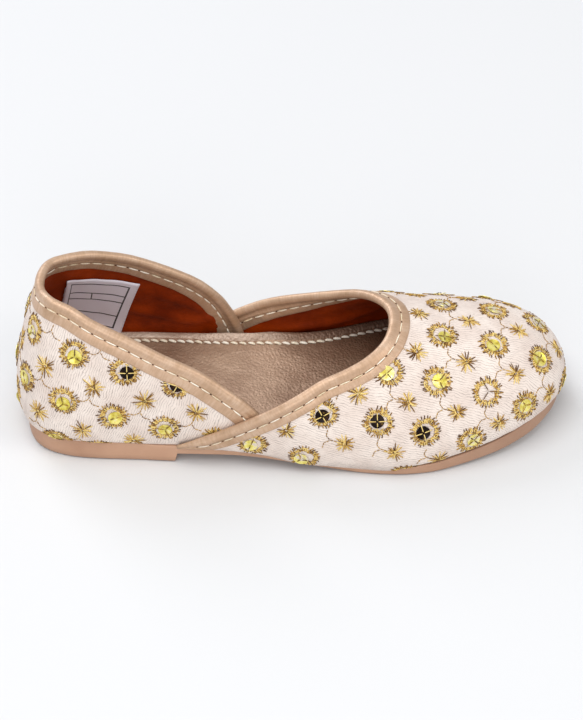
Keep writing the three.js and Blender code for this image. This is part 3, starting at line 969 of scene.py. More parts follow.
def seamStitches(row, clear, way):
    # a row of even stitches with a little of a hand's unevenness, and the holes that their ends go down
    stitches, holes = [], []
    pitch = binding["stitchPitch"]
    count = int((row[-1][0] - 2 * clear) / pitch)
    for k in range(count):
        start = clear + k * pitch + random.uniform(-0.12, 0.12)
        a, normalA = alongRow(row, start)
        b, normalB = alongRow(row, start + binding["stitchLong"])
        normal = (normalA + normalB).normalized()
        stitches.append({"a": a, "b": b, "normal": normal, "wide": binding["stitchWide"][way], "high": 0.4,
                         "lift": 0.02, "bow": 0.1, "tone": random.uniform(0.35, 0.95)})
        hole, normalHole = alongRow(row, start + (binding["stitchLong"] + pitch) / 2)
        run = (b - a).normalized()
        if way == "outer" or random.random() < 0.3:
            holes.append({"a": hole - run * 0.3, "b": hole + run * 0.3, "normal": normalHole, "wide": 0.5,
                          "high": 0.3, "lift": -0.02, "tone": random.uniform(0, 0.3)})
    return stitches, holes


def holeMaterial():
    # needle holes: the dark inside of pierced leather, with only the shade of the hole showing
    material, tree = newMaterial("piercedLeather")
    place = addNode(tree, "TexCoord")
    cloudy = addNode(tree, "TexNoise", {"Vector": place.outputs["Object"], "Scale": 800.0})
    tone = addNode(tree, "ValToRGB", {"Fac": cloudy.outputs["Fac"]},
                   [(0.3, binding["hole"]), (0.7, binding["holeEdge"])])
    finishMaterial(tree, {"Base Color": tone.outputs["Color"], "Roughness": 0.8})
    return material


seamShape = oneStitch(8, 6)
seamFinish = threadMaterial("seamThread", binding["thread"], 0.0, 0.5)
allSeams, allHoles = [], []
for seams in (vampSeams, quarterSeams):
    for way, row in seams.items():
        stitches, holes = seamStitches(row, 2.5, way)
        allSeams += stitches
        allHoles += holes
joinStitches("bindingStitches", seamShape, allSeams, seamFinish)
joinStitches("needleHoles", oneStitch(8, 5), allHoles, holeMaterial())
print("binding stitches made:", len(allSeams))


insole = {
    "edge": 2.0,           # how far inside the feather line its lower edge ends
    "swell": 0.6,          # the share of the wall's bulge that its upper edge follows
    "cut": 1.2,            # how far it is cut back for the quarter's binding
    "cutRise": 0.9,        # and how much that pushes its rim up
    "rimWide": 3.1, "rimProud": 0.9, "rimClimb": 1.1, "rimWavy": 0.25, "rimLift": 0.7,
    "stitchPitch": 2.9, "stitchLong": 2.6, "stitchWide": 1.15, "stitchHigh": 0.9, "stitchLean": 0.45,
    # middle x and y, length, heading in degrees, depth
    "creases": [(88, -6, 34, 12, 0.45), (70, 4, 22, -20, 0.35), (104, -12, 26, 34, 0.4),
                (96, 8, 20, -32, 0.35), (58, -8, 16, 60, 0.3), (112, 2, 22, 62, 0.35),
                (40, 3, 14, -40, 0.2), (80, 12, 18, 8, 0.3)],
    # the leather's colours, how metallic its foil is, and how much painted shade darkens it: towards the toe,
    # from one place to another in metres, and towards the heel
    "bed": {"low": "#9a7b66", "high": "#c6a78e", "metallic": 0.3, "toeShade": 0.76, "toeShadeFrom": 0.05,
            "toeShadeTo": 0.092, "heel": 0.42},
    "rim": {"low": "#b59a86", "high": "#d8c2b0", "metallic": 0.25, "toeShade": 0.7, "toeShadeFrom": 0.046,
            "toeShadeTo": 0.064, "heel": 0.0},
    # the dark brown of the painted shade inside the shoe, towards the toe and the heel
    "wornAndShade": "#613a1c",
}


def insoleMaterial(name, look):
    # champagne foil on soft leather: a dull metallic sheen, pebbled grain about 0.8 mm, and fine wrinkles
    material, tree = newMaterial(name)
    place = addNode(tree, "TexCoord")
    cloudy = addNode(tree, "TexNoise", {"Vector": place.outputs["Object"], "Scale": 60.0, "Detail": 5.0,
                                        "Roughness": 0.65})
    tone = addNode(tree, "ValToRGB", {"Fac": cloudy.outputs["Fac"]},
                   [(0.3, look["low"]), (0.7, look["high"])])
    # painted shade: darker and browner towards the toe and the heel, where less light reaches into the shoe
    parts = addNode(tree, "SeparateXYZ", {"Vector": place.outputs["Object"]})
    toeShade = addNode(tree, "MapRange", {"Value": parts.outputs["X"], "From Min": look["toeShadeFrom"],
                                      "From Max": look["toeShadeTo"], "To Min": 0.0, "To Max": look["toeShade"]})
    heel = addNode(tree, "MapRange", {"Value": parts.outputs["X"], "From Min": 0.044, "From Max": 0.02,
                                      "To Min": 0.0, "To Max": look["heel"]})
    insoleShade = addNode(tree, "Math", {0: toeShade, 1: heel}, operation="MAXIMUM")
    brown = addNode(tree, "Mix", {0: insoleShade, 6: tone.outputs["Color"], 7: toLinear(insole["wornAndShade"])},
                    data_type="RGBA")
    stretched = addNode(tree, "Mapping", {"Vector": place.outputs["Object"], "Scale": (1.1, 1.0, 1.0),
                                          "Rotation": (0, 0, 0.35)})
    pebbles = addNode(tree, "TexVoronoi", {"Vector": stretched, "Scale": 1150.0}, feature="SMOOTH_F1")
    wrinkles = addNode(tree, "TexNoise", {"Vector": stretched, "Scale": 330.0,
                                          "Detail": 5.0, "Roughness": 0.7, "Distortion": 0.8})
    relief = addNode(tree, "Math", {0: pebbles.outputs["Distance"], 1: wrinkles.outputs["Fac"]},
                     operation="ADD")
    bump = addNode(tree, "Bump", {"Height": relief, "Strength": 0.9, "Distance": 0.00045})
    finishMaterial(tree, {"Base Color": brown.outputs[2], "Metallic": look["metallic"], "Roughness": 0.46,
                          "Normal": bump})
    return material


def flatCrease(rows, x, y):
    # soft troughs on a level surface, each with a low ridge beside it
    depth = 0
    for middleX, middleY, length, heading, deep in rows:
        turn = math.radians(heading)
        along = (x - middleX) * math.cos(turn) + (y - middleY) * math.sin(turn)
        across = (y - middleY) * math.cos(turn) - (x - middleX) * math.sin(turn)
        across += 1.2 * noise.noise(Vector((along * 0.12, middleX, 0)))
        depth += deep * math.exp(-(along / (length / 2)) ** 2) * math.exp(-(across / 0.9) ** 2)
        depth -= 0.6 * deep * math.exp(-(along / (length / 2)) ** 2) * math.exp(-((across - 2) / 1.1) ** 2)
    return depth


def makeInsole():
    stations, inside = 150, 30
    # how far in from the edge, and how proud of the leather's level: the rim, the seam, then the foot bed
    wide, proud = insole["rimWide"], insole["rimProud"]
    edgeRows = [(0, -0.9), (0.15, -0.2), (0.5, proud - 0.2), (1.2, proud), (2.4, proud), (wide, proud - 0.2),
                (wide + 0.4, 0.15), (wide + 0.7, -0.2), (wide + 0.95, -0.3), (wide + 1.3, -0.15),
                (wide + 2, 0), (wide + 3, 0.05)]
    rimRows, stitchRow = 6, 8

    def rimPoint(at, side, k):
        inwards, proud = edgeRows[k]
        x = readLast("x", at)
        cut = insoleCut(x, side)
        edge = -insole["edge"] + insole["swell"] * readLast("bulge", at) * (1 - cut) - insole["cut"] * cut
        # where it is cut back its seam runs straight on, and the rim is pushed up
        point = onLast(at, side, 0, edge - inwards + 2 * cut * min(1, k / stitchRow))
        wavy = insole["rimWavy"] * noise.noise(Vector((x * 0.07, side, 3)))
        if side > 0:      # it stands highest beside the arch
            wavy += insole["rimLift"] * (1 - fade(x, 56, 70)) * fade(x, 84, 104)
        climb = insole["rimClimb"] * (1 - 0.8 * fade(x, 54, 70)) + insole["cutRise"] * cut
        climb *= max(0, 1 - inwards / insole["rimWide"])
        point.z = readLast("foot", at) + shoe["insoleThick"] + proud + climb + wavy * math.exp(-inwards / 4)
        return point

    def ringAt(at):
        ends = [[rimPoint(at, side, k) for k in range(len(edgeRows))] for side in (-1, 1)]
        ring = list(ends[0])
        for k in range(1, inside):
            point = ends[0][-1].lerp(ends[1][-1], k / inside)
            point.z += 0.3 * noise.noise(point * 0.13) - flatCrease(insole["creases"], point.x, point.y)
            ring.append(point)
        ring += reversed(ends[1])
        lower = []
        for side in (1, -1):
            point = onLast(at, side, 0, -insole["edge"] - insole["cut"] * insoleCut(readLast("x", at), side))
            point.z = readLast("foot", at) + 0.05
            lower.append(point)
        return ring + [lower[0], lower[0].lerp(lower[1], 0.5), lower[1], ring[0]]

    rings = [ringAt(k / stations) for k in range(stations + 1)]
    acrossTop = 2 * len(edgeRows) + inside - 1

    def rimFlat(i, j, point):
        # the rim's own faces are marked on the flat, so that they are found again after merging
        return 0, flatUnit if j < rimRows or acrossTop - rimRows <= j < acrossTop else 0

    piece = laidGrid("footbed", stations, len(rings[0]) - 1, lambda i, j: rings[i][j], rimFlat)
    tidyMesh(piece, closed=True)
    # the rim, where the leather is turned, has paler colours of its own
    piece.data.materials.clear()
    piece.data.materials.append(insoleMaterial("champagneLeather", insole["bed"]))
    piece.data.materials.append(insoleMaterial("champagneRim", insole["rim"]))
    marks = piece.data.uv_layers.active.data
    for polygon in piece.data.polygons:
        polygon.material_index = int(all(marks[k].uv.y > 0.5 for k in polygon.loop_indices))
    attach(piece, "root")
    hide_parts("insole")

    # the stitches lean, like an overcast hem's
    outline = [rimPoint(i / 400, 1, stitchRow) for i in range(401)]
    outline += [rimPoint(1 - i / 400, -1, stitchRow) for i in range(1, 401)]
    row, travelled = [], 0
    for i, point in enumerate(outline):
        travelled += (point - outline[max(i - 1, 0)]).length
        row.append((travelled, point, Vector((0, 0, 1))))
    stitches = []
    count = int(travelled / insole["stitchPitch"])
    for i in range(count):
        start = i * travelled / count
        a, up = alongRow(row, start)
        b, _ = alongRow(row, start + insole["stitchLong"])
        lean = (b - a).cross(up).normalized() * insole["stitchLean"]
        stitches.append({"a": a - lean, "b": b + lean, "normal": up, "wide": insole["stitchWide"],
                         "high": insole["stitchHigh"], "lift": 0.32, "bow": 0.2,
                         "tone": random.uniform(0.6, 1.0)})
    joinStitches("insoleStitches", oneStitch(7, 5), stitches, seamFinish)


sole = {
    # the rubber's mottled tones, and the brown that painted shade mixes in towards the toe and the bottom
    "rubber": "#ad846a", "pale": "#c59c80", "shadeBrown": "#8e6f5c",
    "treadPitch": 0.0024,                   # metres between the ribs of the tread
    "breast": [51.2, 51.6, 51.8, 52, 52.2, 52.4, 52.9],     # close stations, where the heel ends
    # its side from below, how far out and then how far up, what share of the wall's height, or how far down
    "lowerEdge": [(-1.3, 0), (-0.75, 0.02), (-0.38, 0.16), (-0.12, 0.45), (0, 0.9)],
    "wall": [(0.02, 0.35), (0.0, 0.6)],
    "upperEdge": [(0.0, 0.75), (-0.06, 0.35), (-0.25, 0.08), (-0.6, 0)],
}


def soleMaterial():
    # moulded thermoplastic rubber: even tan, satin, faintly mottled, with fine ribs on the tread only
    material, tree = newMaterial("mouldedRubber")
    place = addNode(tree, "TexCoord")
    cloudy = addNode(tree, "TexNoise", {"Vector": place.outputs["Object"], "Scale": 45.0, "Detail": 4.0})
    tone = addNode(tree, "ValToRGB", {"Fac": cloudy.outputs["Fac"]},
                   [(0.3, sole["rubber"]), (0.7, sole["pale"])])
    parts = addNode(tree, "SeparateXYZ", {"Vector": place.outputs["Object"]})
    facing = addNode(tree, "NewGeometry")
    facingParts = addNode(tree, "SeparateXYZ", {"Vector": facing.outputs["Normal"]})
    under = addNode(tree, "Math", {0: facingParts.outputs["Z"], 1: -0.9}, operation="LESS_THAN")
    ribs = addNode(tree, "TexWave", {"Vector": place.outputs["Object"], "Distortion": 0.0,
                                     "Scale": waveScale(sole["treadPitch"])},
                   wave_type="BANDS", bands_direction="X")
    tread = addNode(tree, "Math", {0: ribs.outputs["Fac"], 1: under}, operation="MULTIPLY")
    fine = addNode(tree, "TexNoise", {"Vector": place.outputs["Object"], "Scale": 900.0, "Detail": 2.0})
    little = addNode(tree, "Math", {0: fine.outputs["Fac"], 1: 0.12}, operation="MULTIPLY")
    relief = addNode(tree, "Math", {0: tread, 1: little}, operation="ADD")
    bump = addNode(tree, "Bump", {"Height": relief, "Strength": 0.6, "Distance": 0.0005})
    # painted shade: darker brown where the sole recedes towards the toe; it is also darker within 2.5 mm of
    # the floor
    low = addNode(tree, "MapRange", {"Value": parts.outputs["Z"], "From Min": 0.0, "From Max": 0.0025,
                                     "To Min": 0.35, "To Max": 0.0})
    front = addNode(tree, "MapRange", {"Value": parts.outputs["X"], "From Min": 0.075, "From Max": 0.125,
                                       "To Min": 0.0, "To Max": 0.45})
    darker = addNode(tree, "Math", {0: low, 1: front}, operation="MAXIMUM")
    shadedRubber = addNode(tree, "Mix", {0: darker, 6: tone.outputs["Color"], 7: toLinear(sole["shadeBrown"])},
                    data_type="RGBA")
    finishMaterial(tree, {"Base Color": shadedRubber.outputs[2], "Roughness": 0.5, "Specular IOR Level": 0.4,
                          "Normal": bump})
    return material


def makeOutsole():
    bottomParts = 14
    parts = 170
    stations = sorted({k / parts for k in range(parts + 1)} | {atOf(x) for x in sole["breast"]})

    def ringAt(at):
        # the section from the lower middle out to one side, up it, across under the insole and down the other
        x = readLast("x", at)
        edge, under, foot = between(soleRows, 1, x), between(soleRows, 2, x), readLast("foot", at)
        top = foot - shoe["gap"] + 0.05 - 0.5 * (1 - fade(x, 124, 134)) * fade(x, 164, 172)
        wallHigh = top - under
        side = sole["lowerEdge"] + [(out, wallHigh * share) for out, share in sole["wall"]]
        side += [(out, wallHigh - down) for out, down in sole["upperEdge"]]
        halves = []
        for way in (-1, 1):
            points = []
            for out, up in side:
                point = onLast(at, way, 0, edge + out)
                point.z = under + up
                points.append(point)
            halves.append(points)
        ring = list(halves[0])
        ring += [halves[0][-1].lerp(halves[1][-1], k / 4) for k in range(1, 4)]
        ring += reversed(halves[1])
        ring += [halves[1][0].lerp(halves[0][0], k / bottomParts) for k in range(1, bottomParts)]
        return ring + [ring[0]]

    rings = [ringAt(at) for at in stations]
    piece = laidGrid("mouldedSole", len(stations) - 1, len(rings[0]) - 1, lambda i, j: rings[i][j])
    tidyMesh(piece, closed=True)
    bpy.ops.object.shade_smooth_by_angle(angle=math.radians(40))
    setMaterial(piece, soleMaterial())
    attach(piece, "root")
    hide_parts("outsole")


makeInsole()
makeOutsole()
print("insole and outsole made")


embroidery = {
    # gold thread by tone: painted shadow brown, lit gold, painted highlight; each stitch's tone is random
    "gold": ("#5a370c", "#b3842c", "#f0d584"),
    # a sequin's colours by its tone, from a painted reflection of something dark to one of the pale cloth
    "foil": [(0.0, "#130704"), (1.0, "#e6dac8"), (0.2, "#2e170a"), (0.34, "#957a2a"), (0.56, "#dac853"),
             (0.84, "#f3e88c")],
    "ringInner": 2.7, "ringOuter": 4.55, "spikeEnd": 5.5, "zigzags": 38, "laid": 28, "spikes": 32,
    "starRays": 22, "starReach": {"vamp": 3.9, "quarter": 4.4}, "stemWide": 0.34,
    "threadWide": 0.43, "threadHigh": 0.34, "spokeWide": 0.4, "spokeLong": 3.3,
    "sequinNeeds": {"vamp": 40, "quarter": 62},     # how many stitches of its ring must show for a sequin
    "sequinRadius": 2.3, "sequinSides": 18, "sequinTilt": 7, "sequinLift": 0.42,
    "roomAlike": 13, "roomUnlike": 10.2,            # least mm between two rings or stars, and one of each
    # sequins with a painted reflection of something dark, and of the pale cloth, by their motif on the chart
    "dark": {"vamp": [(0, -2), (-1, -2), (-2, -2)], "quarter": [(1, 0), (2, 0)]},
    "pale": {"vamp": [(0, 1), (2, 1)], "quarter": [(-1, 0)]},
    # rings that have lost theirs, with only the threads that held it
    "empty": {"vamp": [(1, -1)], "quarter": []},
}


def sequinMaterial():
    # pressed foil sequins: mirror-bright, most of them yellow gold, some painted dark, some cloth-coloured
    material, tree = newMaterial("sequinFoil")
    tone = addNode(tree, "Attribute", attribute_name="tone")
    place = addNode(tree, "TexCoord")
    # painted glints: this noise swings each sequin's tone, like light catching its facets
    facetGlints = addNode(tree, "TexNoise", {"Vector": place.outputs["Object"], "Scale": 620.0, "Detail": 1.0})
    glintSwing = addNode(tree, "MapRange", {"Value": facetGlints.outputs["Fac"], "From Min": 0.3, "From Max": 0.7,
                                       "To Min": -0.24, "To Max": 0.2})
    shade = addNode(tree, "Math", {0: tone.outputs["Fac"], 1: glintSwing}, operation="ADD")
    colour = addNode(tree, "ValToRGB", {"Fac": shade}, embroidery["foil"])
    dents = addNode(tree, "TexNoise", {"Vector": place.outputs["Object"], "Scale": 700.0, "Detail": 1.0})
    bump = addNode(tree, "Bump", {"Height": dents.outputs["Fac"], "Strength": 0.35, "Distance": 0.0003})
    finishMaterial(tree, {"Base Color": colour.outputs["Color"], "Metallic": 0.45, "Roughness": 0.24,
                          "Specular IOR Level": 0.2, "Normal": bump})
    return material


def ringMotif():
    # one ring: gold thread wound back and forth between two circles, some of it laid along them, and ragged
    # ends that stick out round it. Flat places in mm, with each stitch's tone
    inner, outer = embroidery["ringInner"], embroidery["ringOuter"]
    stitches = []
    count = embroidery["zigzags"]
    phase = random.uniform(0, 6)
    for k in range(count):
        out = phase + 2 * math.pi * k / count + random.uniform(-0.09, 0.09)
        turn = phase + 2 * math.pi * (k + 0.7 + random.uniform(-0.4, 0.4)) / count
        back = phase + 2 * math.pi * (k + 1.3) / count
        low, high = inner + random.uniform(-0.2, 0.45), outer + random.uniform(-0.45, 0.35)
        stitches.append((low, out, high, turn, random.uniform(0.25, 1.1)))
        stitches.append((high, turn, low, back, random.uniform(-0.25, 0.75)))
    for k in range(embroidery["laid"]):
        angle = phase + 2 * math.pi * k / embroidery["laid"] + random.uniform(-0.15, 0.15)
        radius = random.choice((inner + 0.1, inner + 0.75, outer - 0.2)) + random.uniform(-0.1, 0.1)
        stitches.append((radius, angle, radius + random.uniform(-0.3, 0.3), angle + random.uniform(0.35, 0.6),
                         random.uniform(0.3, 1.1)))
    for k in range(embroidery["spikes"]):
        angle = phase + 2 * math.pi * (k + random.uniform(0.1, 0.9)) / embroidery["spikes"]
        end = embroidery["spikeEnd"] + random.uniform(-0.5, 0.25)
        stitches.append((outer - 0.4, angle, end, angle + random.uniform(-0.13, 0.13),
                         random.uniform(-0.25, 0.55)))
    return [((r0 * math.cos(t0), r0 * math.sin(t0)), (r1 * math.cos(t1), r1 * math.sin(t1)), tone)
            for r0, t0, r1, t1, tone in stitches]


def starMotif(reach):
    # one star: long and short rays from a knotted middle
    rays = embroidery["starRays"] + random.choice((-1, 0, 0, 1))
    phase = random.uniform(0, 6)
    stitches = []
    for k in range(rays):
        angle = phase + 2 * math.pi * (k + random.uniform(-0.25, 0.25)) / rays
        end = reach + random.choice((random.uniform(-0.5, 0.3), random.uniform(-1.7, -0.6)))
        start, turned = random.uniform(0.1, 0.6), angle + random.uniform(-0.12, 0.12)
        stitches.append(((start * math.cos(angle), start * math.sin(angle)),
                         (end * math.cos(turned), end * math.sin(turned)), random.uniform(0, 0.95)))
    for k in range(9):
        angle, far = random.uniform(0, 6.3), random.uniform(0.2, 0.8)
        x, y, turned = far * math.cos(angle), far * math.sin(angle), angle + random.uniform(0.8, 2.2)
        stitches.append(((x - 0.6 * math.cos(turned), y - 0.6 * math.sin(turned)),
                         (x + 0.6 * math.cos(turned), y + 0.6 * math.sin(turned)), random.uniform(-0.2, 1.0)))
    return stitches


def stemMotif(pitchU, pitchV, across):
    # a thin stem from a star that forks to two rings
    halfU, halfV = pitchU / 2, pitchV / 2
    stitches = []
    for way in (1, -1):
        ringX, ringY = -halfU, way * halfV
        start, fork = Vector((-2.4, 0)), Vector((-4.9, way * 0.15))
        toRing = (Vector((ringX, ringY)) - fork).normalized()
        end = Vector((ringX, ringY)) - toRing * (embroidery["spikeEnd"] - 0.3)
        bend = fork.lerp(end, 0.5) + Vector((-0.7, -way * 0.5))
        route = [start, start.lerp(fork, 0.5), fork, fork.lerp(bend, 0.6), bend, bend.lerp(end, 0.55), end]
        if way < 0:
            route = route[2:]
        stitches += [((a.x, a.y), (b.x, b.y), random.uniform(0.15, 0.5)) for a, b in zip(route, route[1:])]
    if across:     # turned so that the stem hangs down the cloth
        stitches = [((-a[1], a[0]), (-b[1], b[0]), tone) for a, b, tone in stitches]
    return stitches


def coverTree(columns, offOf):
    # the part of the cloth that shows: up to the flange of the binding
    piece = wallSheet("cover", columns, offOf, 0, clothEase)
    tree = treeOf(tidyMesh(piece, awayFrom=insideShoe))
    dropPiece(piece)
    return tree


def latticePlace(chart, i, j):
    # the rows aren't quite square to each other, as on real cloth
    u = i * chart["pitchU"] - chart["lean"] * (j + 0.5)
    v = j * chart["pitchV"] - chart["drop"] + chart["rise"] * max(0, i - 1) - chart["hem"] * max(0, -2 - j)
    if i < 0:
        u *= chart["closerBack"]
        v -= chart["sag"] * max(0, -u - 17)
    return u, v


def sewMotif(cover, hidden, centre, stitches, wide, high, lift):
    # a flat motif's stitches laid on the cloth, without those that miss what shows or that the vamp hides
    place, along, up, _ = centre
    sewn = []
    for a, b, tone in stitches:
        ends = [place + along * p[0] + up * p[1] for p in (a, b)]
        found = [cover.find_nearest(end) for end in ends]
        middle, normal, _, _ = cover.find_nearest((ends[0] + ends[1]) / 2)
        if any(spot is None for spot, _, _, _ in found):
            continue
        flatMiss = [((end - spot) - facing * (end - spot).dot(facing)).length
                    for end, (spot, facing, _, _) in zip(ends, found)]
        if max(flatMiss) > 0.6:
            continue
        if hidden is not None and hidden.find_nearest(middle + normal * 2)[3] < 1.2:
            continue
        sewn.append({"a": found[0][0], "b": found[1][0], "normal": normal, "wide": wide, "high": high,
                     "lift": lift, "bow": 0.08, "tone": tone})
    return sewn


def tuckUnder(point, cover, entire):
    # past the edge of what shows the point is pressed down to the cloth, beneath the binding's flange
    spot, facing, _, _ = cover.find_nearest(point)
    away = point - spot
    sunk = min(1, (away - facing * away.dot(facing)).length / 0.5)
    base, normal, _, _ = entire.find_nearest(point)
    height = (point - base).dot(normal)
    return point + normal * sunk * (0.1 + 0.3 * (height - 0.3) - height)


def makeSequins(places):
    # thin cupped discs, each a circle with two rings of faces, tilted a little on its thread
    sides = embroidery["sequinSides"]
    bpy.ops.object.select_all(action="DESELECT")
    bpy.ops.mesh.primitive_circle_add(vertices=sides, radius=1, fill_type="NGON")
    piece = bpy.context.object
    bpy.ops.object.mode_set(mode="EDIT")
    bpy.ops.mesh.select_all(action="SELECT")
    bpy.ops.mesh.inset(thickness=0.3, depth=-0.06)
    bpy.ops.mesh.inset(thickness=0.5, depth=-0.05)
    bpy.ops.mesh.poke()
    bpy.ops.object.mode_set(mode="OBJECT")
    modifier = piece.modifiers.new("thickness", "SOLIDIFY")
    modifier.thickness, modifier.offset = 0.07, 0
    bpy.ops.object.modifier_apply(modifier=modifier.name)
    unit, unitFaces = shapeOf(piece)
    points, faces, tones = [], [], []
    most = embroidery["sequinTilt"]
    for place, along, up, normal, radius, tone, cover, entire in places:
        lean, roll = (math.radians(random.uniform(-most, most)) for k in range(2))
        tilt = Matrix.Rotation(lean, 3, along) @ Matrix.Rotation(roll, 3, up)
        along, up, normal = tilt @ along, tilt @ up, tilt @ normal
        start = len(points)
        for corner in unit:
            point = place + (along * corner.x + up * corner.y + normal * corner.z) * radius
            point += normal * embroidery["sequinLift"]
            points.append(inFrame(tuckUnder(point, cover, entire)))
        faces += [tuple(start + k for k in face) for face in unitFaces]
        tones += [tone] * len(unit)
    piece = tonedPiece("sequins", points, faces, tones)
    tidyMesh(piece, closed=True)
    bpy.ops.object.shade_smooth_by_angle(angle=math.radians(20))
    setMaterial(piece, sequinMaterial())
    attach(piece, "root")


def hasRoom(placed, place, ring):
    # the rows close up on the far side of the toe, where some motifs are left out so that none overlap
    for other, wasRing in placed:
        if (place - other).length < embroidery["roomAlike" if ring == wasRing else "roomUnlike"]:
            return False
    placed.append((place, ring))
    return True


def sewSequin(name, cell, centre, cover, entire):
    # a sequin in the middle of its ring, given as its place, and the threads that hold it
    spot, along, normal = centre
    dark = cell in embroidery["dark"][name]
    # painted reflections: dark ones are painted near black, pale ones the cloth's colour
    tone = 0.06 if dark else random.uniform(0.6, 0.92)
    tone = 1.0 if cell in embroidery["pale"][name] else tone
    across = normal.cross(along).normalized()
    sideways = across.cross(normal)
    radius = embroidery["sequinRadius"] + random.uniform(-0.1, 0.2)
    sequin = (spot, sideways, across, normal, radius, tone, cover, entire)
    spokes = []
    turn = random.uniform(0, 6)
    count = 4 if dark else random.choice((2, 3, 4))
    for k in range(count):
        angle = turn + 2 * math.pi * k / count
        way = sideways * math.cos(angle) + across * math.sin(angle)
        end, _, _, past = cover.find_nearest(spot + way * embroidery["spokeLong"])
        if past < 1.2:
            spokes.append({"a": spot + normal * 0.3, "b": end, "normal": normal,
                           "wide": embroidery["spokeWide"], "high": embroidery["threadHigh"],
                           "lift": 0.3, "bow": 0.2,
                           "tone": random.uniform(0.7, 1) if dark else random.uniform(-0.1, 0.4)})
    return [] if cell in embroidery["empty"][name] else [sequin], spokes


def makeEmbroidery():
    shows = {part: binding["seamDeep"][part]["outer"] + binding["flangeLong"][part]["outer"] - 0.2
             for part in ("vamp", "quarter")}
    vampCover = coverTree(vampColumns(shows["vamp"]), vampOff)
    quarterCover = coverTree(quarterColumns(shows["quarter"]), quarterOff)
    vampWhole = coverTree(vampColumns(0.5), vampOff)
    quarterWhole = coverTree(quarterColumns(0.5), quarterOff)
    shape = oneStitch(5, 3)
    gold = threadMaterial("goldThread", embroidery["gold"], 0.12, 0.42)
    wide, high = embroidery["threadWide"], embroidery["threadHigh"]
    sequins = []
    for name, chart, cover, entire, hidden, spanI, spanJ in (
            ("vamp", vampChart, vampCover, vampWhole, None, (-6, 5), (-5, 5)),
            ("quarter", quarterChart, quarterCover, quarterWhole, vampWhole, (-8, 5), (-4, 2))):
        rings, stars, placed = [], [], []
        cells = [(i, j) for i in range(*spanI) for j in range(*spanJ)]
        for cell in sorted(cells, key=lambda cell: abs(cell[0]) + abs(cell[1])):
            i, j = cell
            centre = chartPoint(chart, *latticePlace(chart, i, j))
            shown = cell not in chart["bare"] and cover.find_nearest(centre[0])[3] < 6
            if shown and hasRoom(placed, centre[0], True):
                sewn = sewMotif(cover, hidden, centre, ringMotif(), wide, high, 0.1)
                rings += sewn
                spot = centre[0] + centre[1] * random.uniform(-0.9, 0.9)
                spot, normal, _, miss = entire.find_nearest(spot + centre[2] * random.uniform(-0.9, 0.9))
                if miss < 0.5 and len(sewn) > embroidery["sequinNeeds"][name]:
                    added, spokes = sewSequin(name, cell, (spot, centre[1], normal), cover, entire)
                    sequins += added
                    rings += spokes
            centre = chartPoint(chart, *latticePlace(chart, i + 0.5, j + 0.5))
            if cover.find_nearest(centre[0])[3] < 5 and hasRoom(placed, centre[0], False):
                star = starMotif(embroidery["starReach"][name])
                stars += sewMotif(cover, hidden, centre, star, wide, high, 0.1)
                stem = stemMotif(chart["pitchU"], chart["pitchV"], chart["across"])
                stars += sewMotif(cover, hidden, centre, stem, embroidery["stemWide"], 0.28, 0.06)
        joinStitches(name + "Rings", shape, rings, gold)
        joinStitches(name + "Stars", shape, stars, gold)
        print(name, "embroidered:", len(rings), "ring stitches,", len(stars), "star stitches")
    makeSequins(sequins)


makeEmbroidery()


label = {
    "x": (15.5, 45.2), "lean": 0.15, "deep": 27, "thick": 0.3, "off": 0.9, "columns": 24, "rows": 22,
    # how far below the binding's middle its top is, how much lower at the heel, and how far it bows
    "top": 8.5, "lower": 3.8, "bow": 0.9,
    # its ruled lines, mm from its corner, and half their width
    "lines": {"down": (5.2, 27.2), "split": 14.5, "across": (2.6, 7.8, 11.2, 18.2, 24), "half": 0.25},
    "satin": "#e6e0ea", "ink": "#2f2b34",
}


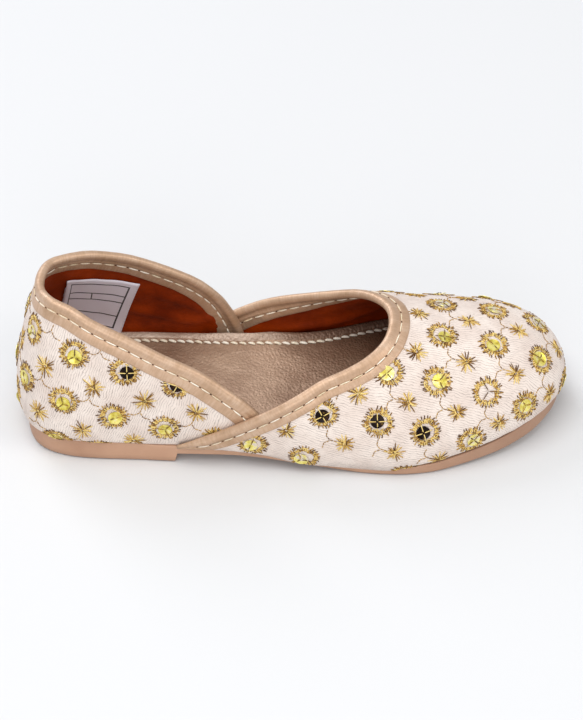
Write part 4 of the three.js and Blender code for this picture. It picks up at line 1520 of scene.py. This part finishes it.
def labelMaterial():
    # woven satin label: a silvery lilac sheen, with plain ruled lines and nothing written in them
    material, tree = newMaterial("satinLabel")
    place = addNode(tree, "UVMap", uv_map="UVMap")
    inMm = addNode(tree, "Mapping", {"Vector": place, "Scale": (flatUnit,) * 3})
    parts = addNode(tree, "SeparateXYZ", {"Vector": inMm})
    left, right = label["lines"]["down"]
    levels = label["lines"]["across"]
    lines = [("X", x, "Y", levels[0], levels[-1]) for x in (left, right)]
    lines.append(("X", label["lines"]["split"], "Y", levels[1], levels[2]))
    lines += [("Y", y, "X", left, right) for y in levels]
    inked = None
    for axis, at, other, low, high in lines:
        near = addNode(tree, "Math", {0: parts.outputs[axis], 1: at, 2: label["lines"]["half"]},
                       operation="COMPARE")
        for operation, limit in (("GREATER_THAN", low - 0.2), ("LESS_THAN", high + 0.2)):
            test = addNode(tree, "Math", {0: parts.outputs[other], 1: limit}, operation=operation)
            near = addNode(tree, "Math", {0: near, 1: test}, operation="MULTIPLY")
        inked = near if inked is None else addNode(tree, "Math", {0: inked, 1: near}, operation="MAXIMUM")
    colour = addNode(tree, "Mix", {0: inked, 6: toLinear(label["satin"]), 7: toLinear(label["ink"])},
                     data_type="RGBA")
    threads = addNode(tree, "TexWave", {"Vector": inMm, "Scale": waveScale(0.3)},
                      wave_type="BANDS", bands_direction="Y")
    bump = addNode(tree, "Bump", {"Height": threads.outputs["Fac"], "Strength": 0.25, "Distance": 0.00008})
    finishMaterial(tree, {"Base Color": colour.outputs[2], "Roughness": 0.42, "Sheen Weight": 0.3,
                          "Normal": bump})
    return material


def makeLabel():
    columns, rows = label["columns"], label["rows"]
    leftStops = sorted((stop for stop in quarterStops if stop["side"] > 0), key=lambda stop: stop["x"])
    stopXs = [stop["x"] for stop in leftStops]

    def place(i, j):
        # its top is nearly level, so that it is further from the binding at the heel, and it hangs down
        down = label["deep"] * j / rows
        share = i / columns
        x = label["x"][0] + (label["x"][1] - label["x"][0]) * share + label["lean"] * down
        deep = label["top"] + label["lower"] * (1 - share) + label["bow"] * 4 * share * (1 - share) + down
        lift = 0.25 * noise.noise(Vector((i * 0.2, j * 0.2, 4))) + 0.5 * (j / rows) ** 2
        k = bisect.bisect_left(stopXs, x)
        spots = []
        for stop in leftStops[k - 1:k + 1]:
            at, turn = downWall(stop, quarterOff, [deep], 1.5)[0]
            spots.append(onWall(quarterOff, at, 1, turn, -shoe["wall"] - label["off"] - lift))
        return spots[0].lerp(spots[1], (x - stopXs[k - 1]) / (stopXs[k] - stopXs[k - 1]))

    wide = label["x"][1] - label["x"][0]
    piece = laidGrid("sizeLabel", columns, rows, place,
                     lambda i, j, point: (wide * i / columns, label["deep"] * j / rows))
    tidyMesh(piece, awayFrom=inFrame(Vector((30, 60, 20))))
    wallUp(piece, label["thick"])
    setMaterial(piece, labelMaterial())
    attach(piece, "root")


makeLabel()
print("label made")

bpy.ops.object.select_all(action="DESELECT")
